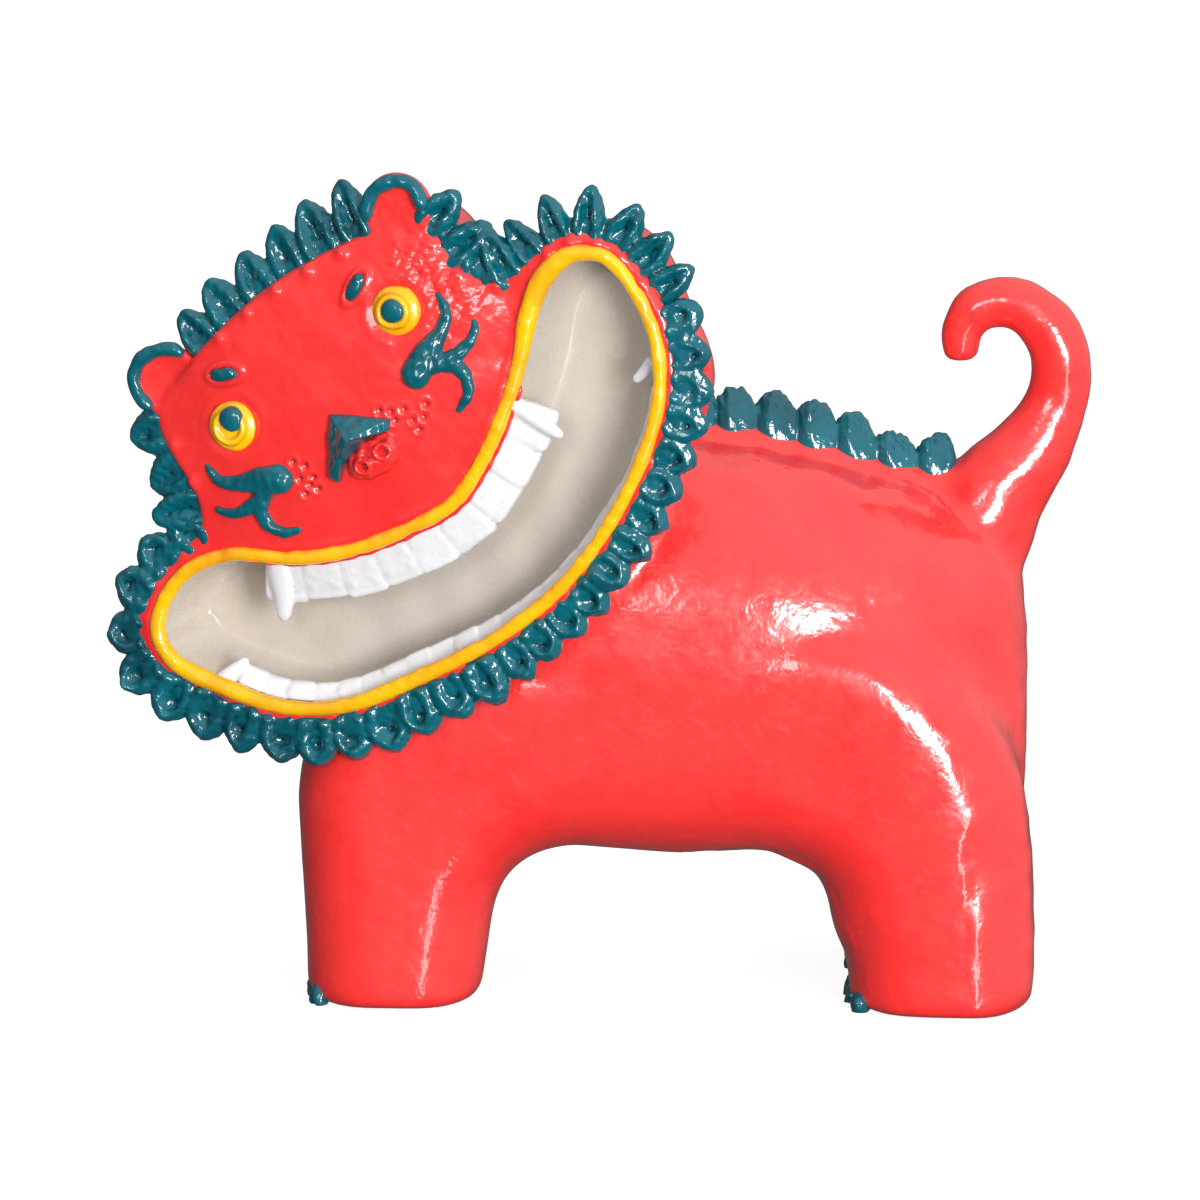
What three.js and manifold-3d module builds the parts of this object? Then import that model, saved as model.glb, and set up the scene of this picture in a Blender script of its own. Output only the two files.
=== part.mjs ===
// Lion figurine: one cast and painted piece. The lion stands side-on on four thick legs, with a curled tail,
// and turns a broad flat face, with a grin from ear to ear, to the viewer.
// Millimetres. +Z is up, +X runs to the tail, and the face looks to -Y.
import * as THREE from "three";
import { mergeVertices } from "three/addons/utils/BufferGeometryUtils.js";
import { ConvexGeometry } from "three/addons/geometries/ConvexGeometry.js";
import Module from "manifold-3d";

// Places the middle of the figure's footprint at x = 0, y = 0.
const FOOTPRINT_SHIFT = { x: -0.37, y: 11.76 };

// The body above the legs is a pillow with a bent top. At each share of the way from its underside up to the
// back: where its front and rear stand, and its width against the flanks.
const UNDERSIDE = 46;
// In plan it is an oblong between an ellipse and a box: the power that x and y are raised to.
const PLAN = { half: 48, power: 2.4, sides: 18 };
const BACK = [[-90, 143], [-38, 149], [0, 147.5], [30, 143.5], [55, 139], [78, 133], [96, 128], [112, 124]];
const TORSO = [
  { share: 0, front: -66, rear: 100, wide: 0.74 },
  { share: 0.1, front: -76.8, rear: 110.8, wide: 0.93 },
  { share: 0.36, front: -77.3, rear: 111.2, wide: 1.01 },
  { share: 0.55, front: -76, rear: 110.6, wide: 0.99 },
  { share: 0.73, front: -72, rear: 109.8, wide: 0.905 },
  { share: 0.87, front: -66, rear: 107, wide: 0.735 },
  { share: 0.96, front: -58, rear: 101, wide: 0.49 },
  { share: 1, front: -50, rear: 94, wide: 0.22 },
];

// The legs of one side and the arch between them are one slab, rounded so far in that each leg is a round post:
// distance from the middle plane, how far the outline has come in there, and how far the sole has lifted.
// They stand wider at the rear.
const SLAB_LEVELS = [
  { y: 10, inset: 3, lift: 0 }, { y: 25, inset: 0, lift: 0 }, { y: 38, inset: 3.4, lift: 0 },
  { y: 45.4, inset: 10.4, lift: 0.6 }, { y: 48, inset: 19, lift: 2.6 },
];
const SPLAY = { middleX: 20, perMillimetre: 0.0011 };
const FEET = { front: { from: -75.3, to: -29.9 }, rear: { from: 64.3, to: 113 } };
// The edge of the sole is rounded under: its height and how far it comes in.
const SOLE = { edge: 3.4, inset: 2.6 };

// Side view of the legs, the belly's arch and the flank, clockwise from the front foot: the places it passes,
// and beside a curve the place that it bends towards.
const SIDE = {
  frontShin: [-75.4, 14], chest: [-77.6, 54], shoulder: { bend: [-74, 92], at: [-46, 99] },
  hip: [54, 108], rump: { bend: [96, 104], at: [110.8, 58] }, rearShin: [113.4, 26],
  heel: [64.2, 13], hock: { bend: [60.2, 18], at: [59.8, 25] }, groin: { bend: [58.9, 38.9], at: [40, 39.7] },
  belly: [22, 38.2], brisket: { bend: [8, 39], at: [-6, 40.6] }, elbow: { bend: [-24, 39.4], at: [-27, 23] },
};
const CURVE_STEPS = 3;

// Toes: small painted claws along the lower front edge of each foot.
const TOE = { places: [17, 28, 39], half: 4.6, depth: 2.4, frontTall: 7, rearTall: 6 };

// The tail leaves the top of the rump and curls forward over itself: x, z and radius along its middle line.
const TAIL = [
  { x: 94, z: 114, r: 16 },
  { x: 102.6, z: 129, r: 13.6 },
  { x: 112.4, z: 142, r: 10.2 },
  { x: 118.5, z: 154, r: 8.5 },
  { x: 119.6, z: 164, r: 8 },
  { x: 115.2, z: 173.6, r: 7.6 },
  { x: 106.4, z: 179, r: 6.9 },
  { x: 97.8, z: 177.5, r: 6.3 },
  { x: 93.5, z: 171.5, r: 5.6 },
  { x: 93.6, z: 164.6, r: 4.8 },
];

// The crest: a low ledge along the spine that carries a row of pinched knobs.
const LEDGE = [[-4, 146.5], [20, 145.5], [42, 142.5], [62, 138.5], [80, 133.5], [94, 133.5]];
const CREST = { first: 4, pitch: 10.4, count: 9, half: 6.5, tall: 14.4, foot: 5, endShrink: 0.76 };
// Height, width and place of the crest's sections against a knob's: the gap in front of it, then its top.
const KNOB = [{ at: -0.5, tall: 0.5, wide: 0.8 }, { at: -0.2, tall: 1, wide: 1 }, { at: 0.2, tall: 0.95, wide: 1 }];

// The neck: a rounded mass between the shoulders and the back of the head.
const NECK = { centre: [-38, -8, 128], radii: [38, 34, 40] };

// The face's own frame: its middle, how far it is turned to the lion's front, and how far it is tipped over.
// In this frame x runs along the line of the eyes, y up the forehead and n out of the face.
const FACE = { centre: [-53.5, -49, 139.9], turn: 18.5, tip: 35 };

// Outline of the head at the front, clockwise as seen from the front, starting at the left ear.
const BRIM = [
  [-33, 52], [-18, 55.5], [2, 57.5], [20, 56.5], [36, 54], [46, 52], [48.5, 44], [48.5, 36], [51, 29], [57, 24.5],
  [64, 25], [74, 26], [82.5, 23], [88, 14.5], [89.5, 3], [87.5, -11], [80, -24], [66, -35], [47, -45.5], [25, -52],
  [2, -54], [-23, -51.5], [-46, -46], [-62, -36], [-75, -21.5], [-83, -7.5], [-82, 4], [-73.5, 12], [-62, 15.5],
  [-53, 15.5], [-48, 20], [-46, 28], [-46, 40], [-43, 49],
];
const BRIM_MIDDLE = [0, 8];
const BRIM_SIDES = 38;
// The head is a thick drum with a rounded back: depth behind the face and size against the outline.
const DRUM = [
  { n: -1.8, size: 1.01 }, { n: -25, size: 1.005 }, { n: -38, size: 0.9 }, { n: -50, size: 0.66 },
  { n: -56.5, size: 0.3 },
];
// The forehead and cheeks swell forward as one low dome.
const DOME = { height: 6.5, x: 0, y: 24, rx: 54, ry: 41 };
const DOME_RINGS = [0.4, 0.75, 1];

// Middle line of the lip that frames the open mouth, clockwise from its upper left corner.
const LIP = [
  [-58, 10], [-46, 6], [-33, -3], [-18, -10], [0, -14], [13, -14.8], [28, -9], [40, -1.5], [49, 5.5], [58, 14],
  [67, 20], [76, 20.8], [83, 15], [85, 4], [82.5, -10], [75, -22], [63, -32], [44, -42], [24, -48], [2, -49.3],
  [-22, -46.5], [-43, -42], [-58, -33], [-70, -19.5], [-78, -7], [-77.5, 1.5], [-69, 8],
];
const LIP_STEPS = 40;
// How finely a closed outline is searched for a place on it.
const SEARCH_STEPS = 600;
const LIP_RADIUS = 1.6;
// The mouth is a bowl: depth behind the face, how far its wall has come in, and how its length shrinks.
const MOUTH = [{ n: 12, inset: 0, length: 1 }, { n: -13, inset: 2.6, length: 0.97 }, { n: -21, inset: 8, length: 0.93 }];

// Teeth: rows along the lip, given by the x of the first and last tooth on the lip's middle line.
// A section of the row: share of the tooth's length into the mouth, and share of its thickness.
const UPPER_SECTION = [[-0.08, -0.5], [-0.08, 0.5], [1, 0.1], [0.9, -0.5]];
const LOWER_SECTION = [[-0.08, -0.6], [-0.08, 0.5], [1, 0]];
const UPPER_TEETH = {
  fromX: -39, toX: 41, count: 9, long: 11.5, thick: 4, n: -3, fang: 14.5, section: UPPER_SECTION,
};
const LOWER_TEETH = {
  fromX: -67, toX: 78, count: 17, long: 7.5, thick: 4, n: -6, fang: 10, section: LOWER_SECTION,
};

const EYE = { x: 27.2, y: 34.2, flange: 6.2, boss: 4.5, pupil: 2.8 };
const BROW = { x: 21.8, y: 45, half: [4, 1.9, 1.6], slant: 26 };
const NOSE = { top: 21, tip: [0, 12.5], wing: [10, 7.5], rise: 7.5, bulb: [9, 5.6, 4.6], bulbY: 4.5 };
const NOSTRIL = { x: 4, y: 5.5, ring: 1.9, wire: 0.75 };
// Whisker mark on the right cheek, mirrored on the left: a blob that splits into three curling arms.
const WHISKERS = [
  { line: [[22.5, 17], [29, 19.3], [35, 21.8], [39.3, 25], [41.2, 31]], radii: [3.6, 2.8, 2, 1.6, 0.8] },
  { line: [[27, 17.5], [32.5, 15.8], [38.5, 15.6], [43, 17.3], [45.6, 20.5]], radii: [2.3, 2.2, 1.9, 1.5, 0.8] },
  { line: [[31, 16.3], [34.8, 13], [35.2, 9], [33, 5.4], [27.8, 3.2]], radii: [2, 2, 1.8, 1.5, 0.8] },
];
const EARS = [{ side: -1, x: -36.5, y: 53.5 }, { side: 1, x: 42.5, y: 54.5 }];
const EAR = { radius: 7.6, rim: 1.7, thick: 4.5, n: -1.5, fromAngle: -35, toAngle: 175 };

// Mane: pinched locks round the edge of the head. Each run goes clockwise between two places on the outline.
const MANE = [
  { name: "crown", from: [-21.5, 54.5], to: [29.5, 55], count: 6, long: 13.4, tip: 0.4, n: -6 },
  { name: "right temple", from: [49.5, 47], to: [58, 24.5], count: 4, long: 11, tip: 0.36, n: -6 },
  { name: "right lobe", from: [67, 25.5], to: [89.5, 0], count: 6, long: 10, tip: 0.4, n: -4.4 },
  { name: "right jaw", from: [88.5, -8], to: [4, -54], count: 12, long: 9.4, tip: 0.65, n: -4.2 },
  { name: "left jaw", from: [-6, -53.5], to: [-83, -5], count: 10, long: 11, tip: 0.65, n: -4.6 },
  { name: "left lobe", from: [-82, 4], to: [-54, 15.5], count: 4, long: 9.6, tip: 0.5, n: -5 },
  { name: "left temple", from: [-48, 21.5], to: [-45.5, 43], count: 3, long: 12, tip: 0.5, n: -4.5 },
];
const LOCK_THICK = 4.4;
// Half of a lock's width against the distance to the next lock.
const LOCK_SHARE = 0.49;

const RED = "#ff4846";

const wasm = await Module();
wasm.setup();

// Turns a closed three.js geometry into a solid, leaving out triangles that have shrunk to a line.
function toSolid(geometry) {
  const bare = geometry.clone();
  bare.deleteAttribute("normal");
  bare.deleteAttribute("uv");
  const merged = mergeVertices(bare, 1e-4);
  const corners = Array.from(merged.index.array);
  const kept = [];
  for (let i = 0; i < corners.length; i += 3) {
    const [a, b, c] = corners.slice(i, i + 3);
    if (a !== b && b !== c && c !== a) kept.push(a, b, c);
  }
  const vertProperties = new Float32Array(merged.attributes.position.array);
  return new wasm.Manifold(new wasm.Mesh({ numProp: 3, vertProperties, triVerts: new Uint32Array(kept) }));
}

function toGeometry(solid) {
  const mesh = solid.getMesh();
  const geometry = new THREE.BufferGeometry();
  geometry.setAttribute("position", new THREE.BufferAttribute(new Float32Array(mesh.vertProperties), 3));
  geometry.setIndex(new THREE.BufferAttribute(new Uint32Array(mesh.triVerts), 1));
  return geometry;
}

function joined(solids) {
  return solids.reduce((whole, solid) => whole.add(solid));
}

// Six times the signed volume: positive when the triangles face outwards.
function signedVolume(points, corners) {
  let sum = 0;
  for (let i = 0; i < corners.length; i += 3) {
    const [a, b, c] = [points[corners[i]], points[corners[i + 1]], points[corners[i + 2]]];
    sum += a.dot(new THREE.Vector3().crossVectors(b, c));
  }
  return sum;
}

function skin(points, corners) {
  if (signedVolume(points, corners) < 0) corners.reverse();
  const geometry = new THREE.BufferGeometry();
  geometry.setAttribute("position", new THREE.Float32BufferAttribute(points.flatMap((p) => p.toArray()), 3));
  geometry.setIndex(corners);
  return geometry;
}

// The same skin with its triangles turned to face outwards, for one that has been mirrored.
function facingOut(geometry) {
  const position = geometry.attributes.position;
  const points = Array.from({ length: position.count }, (_, i) => new THREE.Vector3().fromBufferAttribute(position, i));
  return skin(points, Array.from(geometry.index.array));
}

function middleOf(ring) {
  return ring.reduce((sum, p) => sum.add(p), new THREE.Vector3()).divideScalar(ring.length);
}

// Corners of the bands of triangles between rings of equal count.
function bands(rings, wrap = false) {
  const corners = [];
  const count = rings[0].length;
  const last = wrap ? rings.length : rings.length - 1;
  for (let i = 0; i < last; i += 1) {
    const here = i * count;
    const next = ((i + 1) % rings.length) * count;
    for (let j = 0; j < count; j += 1) {
      const k = (j + 1) % count;
      corners.push(here + j, here + k, next + k, here + j, next + k, next + j);
    }
  }
  return corners;
}

// A closed skin through rings of points, each end drawn together on the middle of its ring.
function loft(rings) {
  const points = rings.flat();
  const corners = bands(rings);
  const count = rings[0].length;
  const start = points.push(middleOf(rings[0])) - 1;
  const end = points.push(middleOf(rings[rings.length - 1])) - 1;
  const lastRing = (rings.length - 1) * count;
  for (let j = 0; j < count; j += 1) {
    const k = (j + 1) % count;
    corners.push(start, k, j, end, lastRing + j, lastRing + k);
  }
  return skin(points, corners);
}

// Triangles that fill a flat ring, each wound the way the ring runs.
function lid(ring) {
  const outline = ring.map((p) => new THREE.Vector2(p.x, p.y));
  const clockwise = THREE.ShapeUtils.isClockWise(outline);
  return THREE.ShapeUtils.triangulateShape(outline, []).map((corners) => {
    const same = THREE.ShapeUtils.isClockWise(corners.map((i) => outline[i])) === clockwise;
    return same ? corners : [...corners].reverse();
  });
}

// A closed skin through rings, with flat lids cut to the shape of the first and last ring.
function prism(rings) {
  const points = rings.flat();
  const corners = bands(rings);
  const lastRing = (rings.length - 1) * rings[0].length;
  for (const [a, b, c] of lid(rings[0])) corners.push(c, b, a);
  for (const [a, b, c] of lid(rings[rings.length - 1])) corners.push(lastRing + a, lastRing + b, lastRing + c);
  return skin(points, corners);
}

function closedCurve(outline) {
  return new THREE.CatmullRomCurve3(outline.map(([x, y]) => new THREE.Vector3(x, y, 0)), true, "centripetal");
}

// Rings of a round section carried along a line, with its own radius at each station.
function tubeRings(line, radii, sides, steps, up, flatness = 1) {
  const curve = new THREE.CatmullRomCurve3(line, false, "centripetal");
  return Array.from({ length: steps + 1 }, (_, i) => {
    const t = i / steps;
    const middle = curve.getPoint(t);
    const along = curve.getTangent(t);
    const across = new THREE.Vector3().crossVectors(up, along).normalize();
    const raised = new THREE.Vector3().crossVectors(along, across).normalize();
    const place = t * (radii.length - 1);
    const k = Math.min(Math.floor(place), radii.length - 2);
    const radius = THREE.MathUtils.lerp(radii[k], radii[k + 1], place - k);
    return Array.from({ length: sides }, (_, j) => {
      const angle = (j / sides) * Math.PI * 2;
      return middle.clone()
        .addScaledVector(across, radius * Math.cos(angle))
        .addScaledVector(raised, radius * flatness * Math.sin(angle));
    });
  });
}

function splayed(x, y) {
  return y * (1 + (x - SPLAY.middleX) * SPLAY.perMillimetre);
}

// A number between -1 and 1 drawn out towards the plan's box.
function squared(value) {
  return Math.sign(value) * Math.abs(value) ** (2 / PLAN.power);
}

// The torso: rings of the one plan, each bent to follow the back.
function torso() {
  const back = new THREE.SplineCurve(BACK.map(([x, z]) => new THREE.Vector2(x, z)));
  const heightOver = (x) => {
    const k = BACK.findIndex(([end], i) => i > 0 && x <= end);
    const share = (x - BACK[k - 1][0]) / (BACK[k][0] - BACK[k - 1][0]);
    return back.getPoint((k - 1 + share) / (BACK.length - 1)).y;
  };
  const rings = TORSO.map(({ share, front, rear, wide }) => Array.from({ length: PLAN.sides }, (_, i) => {
    const turn = (i / PLAN.sides) * 2 * Math.PI;
    const x = (front + rear) / 2 + ((rear - front) / 2) * squared(Math.cos(turn));
    const y = splayed(x, PLAN.half * squared(Math.sin(turn))) * wide;
    return new THREE.Vector3(x, y, THREE.MathUtils.lerp(UNDERSIDE, heightOver(x), share));
  }));
  return loft(rings);
}

// The side view as one closed outline that starts and ends at the front foot's sole.
function slabOutline() {
  const { front, rear } = FEET;
  const path = new THREE.Path();
  const sole = ({ from, to }) => {
    path.lineTo(to, SOLE.edge);
    path.lineTo(to - SOLE.inset, 0);
    path.lineTo(from + SOLE.inset, 0);
    path.lineTo(from, SOLE.edge);
  };
  path.moveTo(front.from + SOLE.inset, 0);
  path.lineTo(front.from, SOLE.edge);
  for (const [name, stop] of Object.entries(SIDE)) {
    if (name === "heel") sole(rear);
    if (Array.isArray(stop)) path.lineTo(...stop);
    else path.quadraticCurveTo(...stop.bend, ...stop.at);
  }
  path.lineTo(front.to, SOLE.edge);
  path.lineTo(front.to - SOLE.inset, 0);
  return path.getPoints(CURVE_STEPS);
}

function slab(side) {
  const outline = slabOutline();
  const count = outline.length;
  const inward = outline.map((p, i) => {
    const along = outline[(i + 1) % count].clone().sub(outline[(i + count - 1) % count]).normalize();
    // The sole stays level: its edge comes in sideways only.
    if (p.y > SOLE.edge) return new THREE.Vector2(along.y, -along.x);
    const { from, to } = p.x < 0 ? FEET.front : FEET.rear;
    return new THREE.Vector2(Math.sign((from + to) / 2 - p.x), 0);
  });
  const rings = SLAB_LEVELS.map(({ y, inset, lift }) => outline.map((p, i) => {
    const at = p.clone().addScaledVector(inward[i], inset);
    return new THREE.Vector3(at.x, Math.max(at.y, lift * (1 + p.y / SOLE.edge)), splayed(at.x, y));
  }));
  // The rings are drawn in the x-y plane and stacked along z; the slab is then set upright, as seen from its side.
  const whole = prism(rings).applyMatrix4(new THREE.Matrix4().set(1, 0, 0, 0, 0, 0, side, 0, 0, 1, 0, 0, 0, 0, 0, 1));
  return toSolid(facingOut(whole));
}

function toes({ from }, side, tall) {
  return TOE.places.map((y) => {
    const k = SLAB_LEVELS.findIndex((level) => level.y > y);
    const [a, b] = [SLAB_LEVELS[k - 1], SLAB_LEVELS[k]];
    const inset = THREE.MathUtils.mapLinear(y, a.y, b.y, a.inset, b.inset);
    const toe = new THREE.SphereGeometry(1, 6, 3);
    toe.scale(TOE.depth, TOE.half, tall / 2);
    toe.translate(from + inset + TOE.depth * 0.3, side * splayed(from, y), tall / 2);
    return toSolid(toe);
  });
}

function tail() {
  const line = TAIL.map(({ x, z }) => new THREE.Vector3(x, 0, z));
  const radii = TAIL.map(({ r }) => r);
  return loft(tubeRings(line, radii, 8, 14, new THREE.Vector3(0, 1, 0)));
}

function heightOnLedge(x) {
  const curve = new THREE.SplineCurve(LEDGE.map(([a, b]) => new THREE.Vector2(a, b)));
  const share = (x - LEDGE[0][0]) / (LEDGE[LEDGE.length - 1][0] - LEDGE[0][0]);
  return curve.getPointAt(THREE.MathUtils.clamp(share, 0, 1)).y;
}

// The crest: one ridge along the spine that rises and falls, a knob at each rise.
function crest() {
  const rings = [];
  for (let i = 0; i <= CREST.count; i += 1) {
    const size = THREE.MathUtils.lerp(1, CREST.endShrink, i / CREST.count);
    for (const { at, tall, wide } of i < CREST.count ? KNOB : KNOB.slice(0, 1)) {
      const x = CREST.first + (i + at) * CREST.pitch;
      const z = heightOnLedge(x);
      const [w, h] = [CREST.half * size * wide, CREST.tall * size * tall];
      const section = [[-w, -CREST.foot], [-w, h * 0.25], [-w * 0.6, h * 0.8], [0, h], [w * 0.6, h * 0.8], [w, h * 0.25],
        [w, -CREST.foot]];
      rings.push(section.map(([y, rise]) => new THREE.Vector3(x, y, z + rise)));
    }
  }
  return loft(rings);
}

function neck() {
  const mass = new THREE.SphereGeometry(1, 9, 5);
  mass.scale(...NECK.radii);
  mass.translate(...NECK.centre);
  return mass;
}

// The face's frame as a matrix: turned about the upright axis, then tipped in its own plane.
function faceFrame() {
  const turn = THREE.MathUtils.degToRad(FACE.turn);
  const tip = THREE.MathUtils.degToRad(FACE.tip);
  const out = new THREE.Vector3(-Math.sin(turn), -Math.cos(turn), 0);
  const level = new THREE.Vector3(Math.cos(turn), -Math.sin(turn), 0);
  const upright = new THREE.Vector3(0, 0, 1);
  const x = level.clone().multiplyScalar(Math.cos(tip)).addScaledVector(upright, Math.sin(tip));
  const y = level.clone().multiplyScalar(-Math.sin(tip)).addScaledVector(upright, Math.cos(tip));
  return new THREE.Matrix4().makeBasis(x, y, out).setPosition(...FACE.centre);
}

const FACE_FRAME = faceFrame();

// A solid of the head, drawn in the face's frame and set in its place.
function inFace(geometry) {
  return toSolid(geometry.clone().applyMatrix4(FACE_FRAME));
}

function domeHeight(x, y) {
  const away = ((x - DOME.x) / DOME.rx) ** 2 + ((y - DOME.y) / DOME.ry) ** 2;
  return DOME.height * Math.max(0, 1 - away);
}

// The drum of the head: the domed front, the side wall and the rounded back as rings of the outline.
function drum() {
  const outline = closedCurve(BRIM).getSpacedPoints(BRIM_SIDES).slice(0, BRIM_SIDES);
  const [cx, cy] = BRIM_MIDDLE;
  const ringAt = (size, depth) => outline.map((p) => {
    const x = cx + (p.x - cx) * size;
    const y = cy + (p.y - cy) * size;
    return new THREE.Vector3(x, y, depth(x, y));
  });
  const front = DOME_RINGS.map((size) => ringAt(size, domeHeight));
  const rest = DRUM.map(({ n, size }) => ringAt(size, () => n));
  return loft([...front, ...rest]);
}

// Point, direction along the curve and direction into the mouth at a share of the lip's length.
function lipFrame(curve, share) {
  const at = curve.getPointAt(share);
  const along = curve.getTangentAt(share);
  const inward = new THREE.Vector3(along.y, -along.x, 0);
  return { at, along, inward };
}

function mouthHollow() {
  const curve = closedCurve(LIP);
  const middleX = (LIP[0][0] + LIP[11][0]) / 2;
  const rings = MOUTH.map(({ n, inset, length }) => Array.from({ length: LIP_STEPS }, (_, i) => {
    const { at, inward } = lipFrame(curve, i / LIP_STEPS);
    const p = at.clone().addScaledVector(inward, inset);
    return new THREE.Vector3(middleX + (p.x - middleX) * length, p.y, n);
  }));
  return prism(rings);
}

function lip() {
  const curve = closedCurve(LIP);
  const sides = 4;
  const rings = Array.from({ length: LIP_STEPS }, (_, i) => {
    const { at, inward } = lipFrame(curve, i / LIP_STEPS);
    // The bead is broadest where it climbs the inner side of the right lobe.
    const broad = 1 + 0.35 * Math.exp(-(((at.x - 60) / 14) ** 2) - (((at.y - 14) / 14) ** 2));
    return Array.from({ length: sides }, (_, j) => {
      const angle = (j / sides) * Math.PI * 2;
      return at.clone()
        .addScaledVector(inward, LIP_RADIUS * broad * Math.cos(angle))
        .add(new THREE.Vector3(0, 0, domeHeight(at.x, at.y) + 0.6 + LIP_RADIUS * Math.sin(angle)));
    });
  });
  return skin(rings.flat(), bands(rings, true));
}

// Share of the lip's length where its upper or lower side passes a given x.
function lipShareAt(curve, x, upper) {
  let best = 0;
  let nearest = Infinity;
  for (let i = 0; i < SEARCH_STEPS; i += 1) {
    const share = i / SEARCH_STEPS;
    const gap = Math.abs(curve.getPointAt(share).x - x);
    if (curve.getTangentAt(share).x > 0 === upper && gap < nearest) {
      nearest = gap;
      best = share;
    }
  }
  return best;
}

// Section of a tooth row or fang at one place on the lip: a slab that reaches into the mouth and leans back.
function toothSection(corners, { at, inward }, long, thick, n) {
  const lean = 2;
  return corners.map(([share, deep]) => at.clone()
    .addScaledVector(inward, share * long)
    .add(new THREE.Vector3(0, 0, n - Math.max(0, share) * lean + deep * thick)));
}

// A fang: a four-sided spike that stands on the lip and points into the mouth.
function fangSpike({ at, along, inward }, width, long, thick, n) {
  const levels = [[-0.05, 1, 1], [0.55, 0.7, 0.8], [1, 0.16, 0.3]];
  const corners = [[-1, -1], [1, -1], [1, 1], [-1, 1]];
  return loft(levels.map(([share, wide, deep]) => corners.map(([a, b]) => at.clone()
    .addScaledVector(along, (a * width * wide) / 2)
    .addScaledVector(inward, share * long)
    .add(new THREE.Vector3(0, 0, n - 1.5 * share + (b * thick * deep) / 2)))));
}

function teeth({ fromX, toX, count, long, thick, n, fang, section }, upper) {
  const curve = closedCurve(LIP);
  const first = lipShareAt(curve, upper ? fromX : toX, upper);
  const last = lipShareAt(curve, upper ? toX : fromX, upper);
  const pitch = (last - first) / count;
  // Two places to a tooth: the notch where it meets its neighbour, and its full middle.
  const rings = Array.from({ length: count * 2 + 1 }, (_, i) => {
    const reach = i % 2 === 0 ? 0.82 : 1 + 0.05 * Math.sin(i * 1.7);
    return toothSection(section, lipFrame(curve, first + (i * pitch) / 2), long * reach, thick, n);
  });
  const width = pitch * curve.getLength();
  const spikes = [first - pitch * 0.3, last + pitch * 0.3].map((share) => (
    inFace(fangSpike(lipFrame(curve, share), width * 0.75, fang, thick * 1.2, n + 0.4))));
  return joined([inFace(loft(rings)), ...spikes]);
}

function eye(side) {
  const { flange, boss, pupil } = EYE;
  const profile = [
    [0, -2], [flange, -2], [flange, 1.1], [boss, 1.8], [boss - 0.3, 3.8], [pupil, 4.2], [0, 5.2],
  ];
  const turned = new THREE.LatheGeometry(profile.map(([r, h]) => new THREE.Vector2(r, h)), 10);
  turned.rotateX(Math.PI / 2);
  turned.translate(side * EYE.x, EYE.y, domeHeight(EYE.x, EYE.y));
  return inFace(turned);
}

function brow(side) {
  const grain = new THREE.SphereGeometry(1, 8, 4);
  grain.scale(...BROW.half);
  grain.rotateZ(THREE.MathUtils.degToRad(side * BROW.slant));
  grain.translate(side * BROW.x, BROW.y, domeHeight(BROW.x, BROW.y) + 0.4);
  return inFace(grain);
}

function nose() {
  const base = domeHeight(0, NOSE.tip[1]);
  const point = (x, y, n) => new THREE.Vector3(x, y, base + n);
  const solids = [];
  for (const side of [-1, 1]) {
    // Half of the chevron: a ridge from the top of the nose down to its tip, and out to one wing.
    const [wingX, wingY] = NOSE.wing;
    solids.push(inFace(new ConvexGeometry([
      point(0, NOSE.top, -2), point(0, NOSE.top, 1.2), point(0, NOSE.tip[1], NOSE.rise),
      point(side * wingX, wingY, -3), point(side * wingX, wingY, 1.2), point(side * wingX * 0.8, wingY - 1, -3),
      point(side * 3, NOSE.tip[1] - 2, NOSE.rise - 2), point(-side * 0.8, NOSE.tip[1], -3),
      point(side * 2.5, NOSE.top - 3, -2),
    ])));
    const ring = new THREE.TorusGeometry(NOSTRIL.ring, NOSTRIL.wire, 3, 6);
    ring.translate(side * NOSTRIL.x, NOSTRIL.y - 1, base + NOSE.bulb[2] * 0.72);
    solids.push(inFace(ring));
  }
  const bulb = new THREE.SphereGeometry(1, 8, 5);
  bulb.scale(...NOSE.bulb);
  bulb.translate(0, NOSE.bulbY, base - 0.5);
  solids.push(inFace(bulb));
  return joined(solids);
}

function whiskers(side) {
  const out = new THREE.Vector3(0, 0, 1);
  const arms = WHISKERS.map(({ line, radii }) => {
    const points = line.map(([x, y]) => new THREE.Vector3(side * x, y, domeHeight(x, y) + 0.2));
    return inFace(loft(tubeRings(points, radii, 4, 4, out, 0.75)));
  });
  return joined(arms);
}

// An ear: a round plate at the corner of the forehead, dished at the front, with a raised rim on its outer side.
function ear({ side, x, y }) {
  const { radius, rim, thick, n, fromAngle, toAngle } = EAR;
  const profile = [
    [0, -thick], [radius * 0.8, -thick], [radius + rim * 1.1, -thick * 0.5], [radius + rim, 0.8],
    [radius * 0.7, -0.4], [0, -1.2],
  ];
  const plate = new THREE.LatheGeometry(profile.map(([r, h]) => new THREE.Vector2(r, h)), 10);
  plate.rotateX(Math.PI / 2);
  plate.translate(x, y, n);
  const stops = 6;
  const line = Array.from({ length: stops + 1 }, (_, i) => {
    const degrees = THREE.MathUtils.lerp(fromAngle, toAngle, i / stops);
    const angle = THREE.MathUtils.degToRad(side > 0 ? degrees : 180 - degrees);
    return new THREE.Vector3(x + radius * Math.cos(angle), y + radius * Math.sin(angle), n + 1.6);
  });
  const radii = [rim * 0.6, rim, rim, rim, rim, rim * 0.6];
  const bead = loft(tubeRings(line, radii, 4, 7, new THREE.Vector3(0, 0, 1)));
  return inFace(plate).add(inFace(bead));
}

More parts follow.
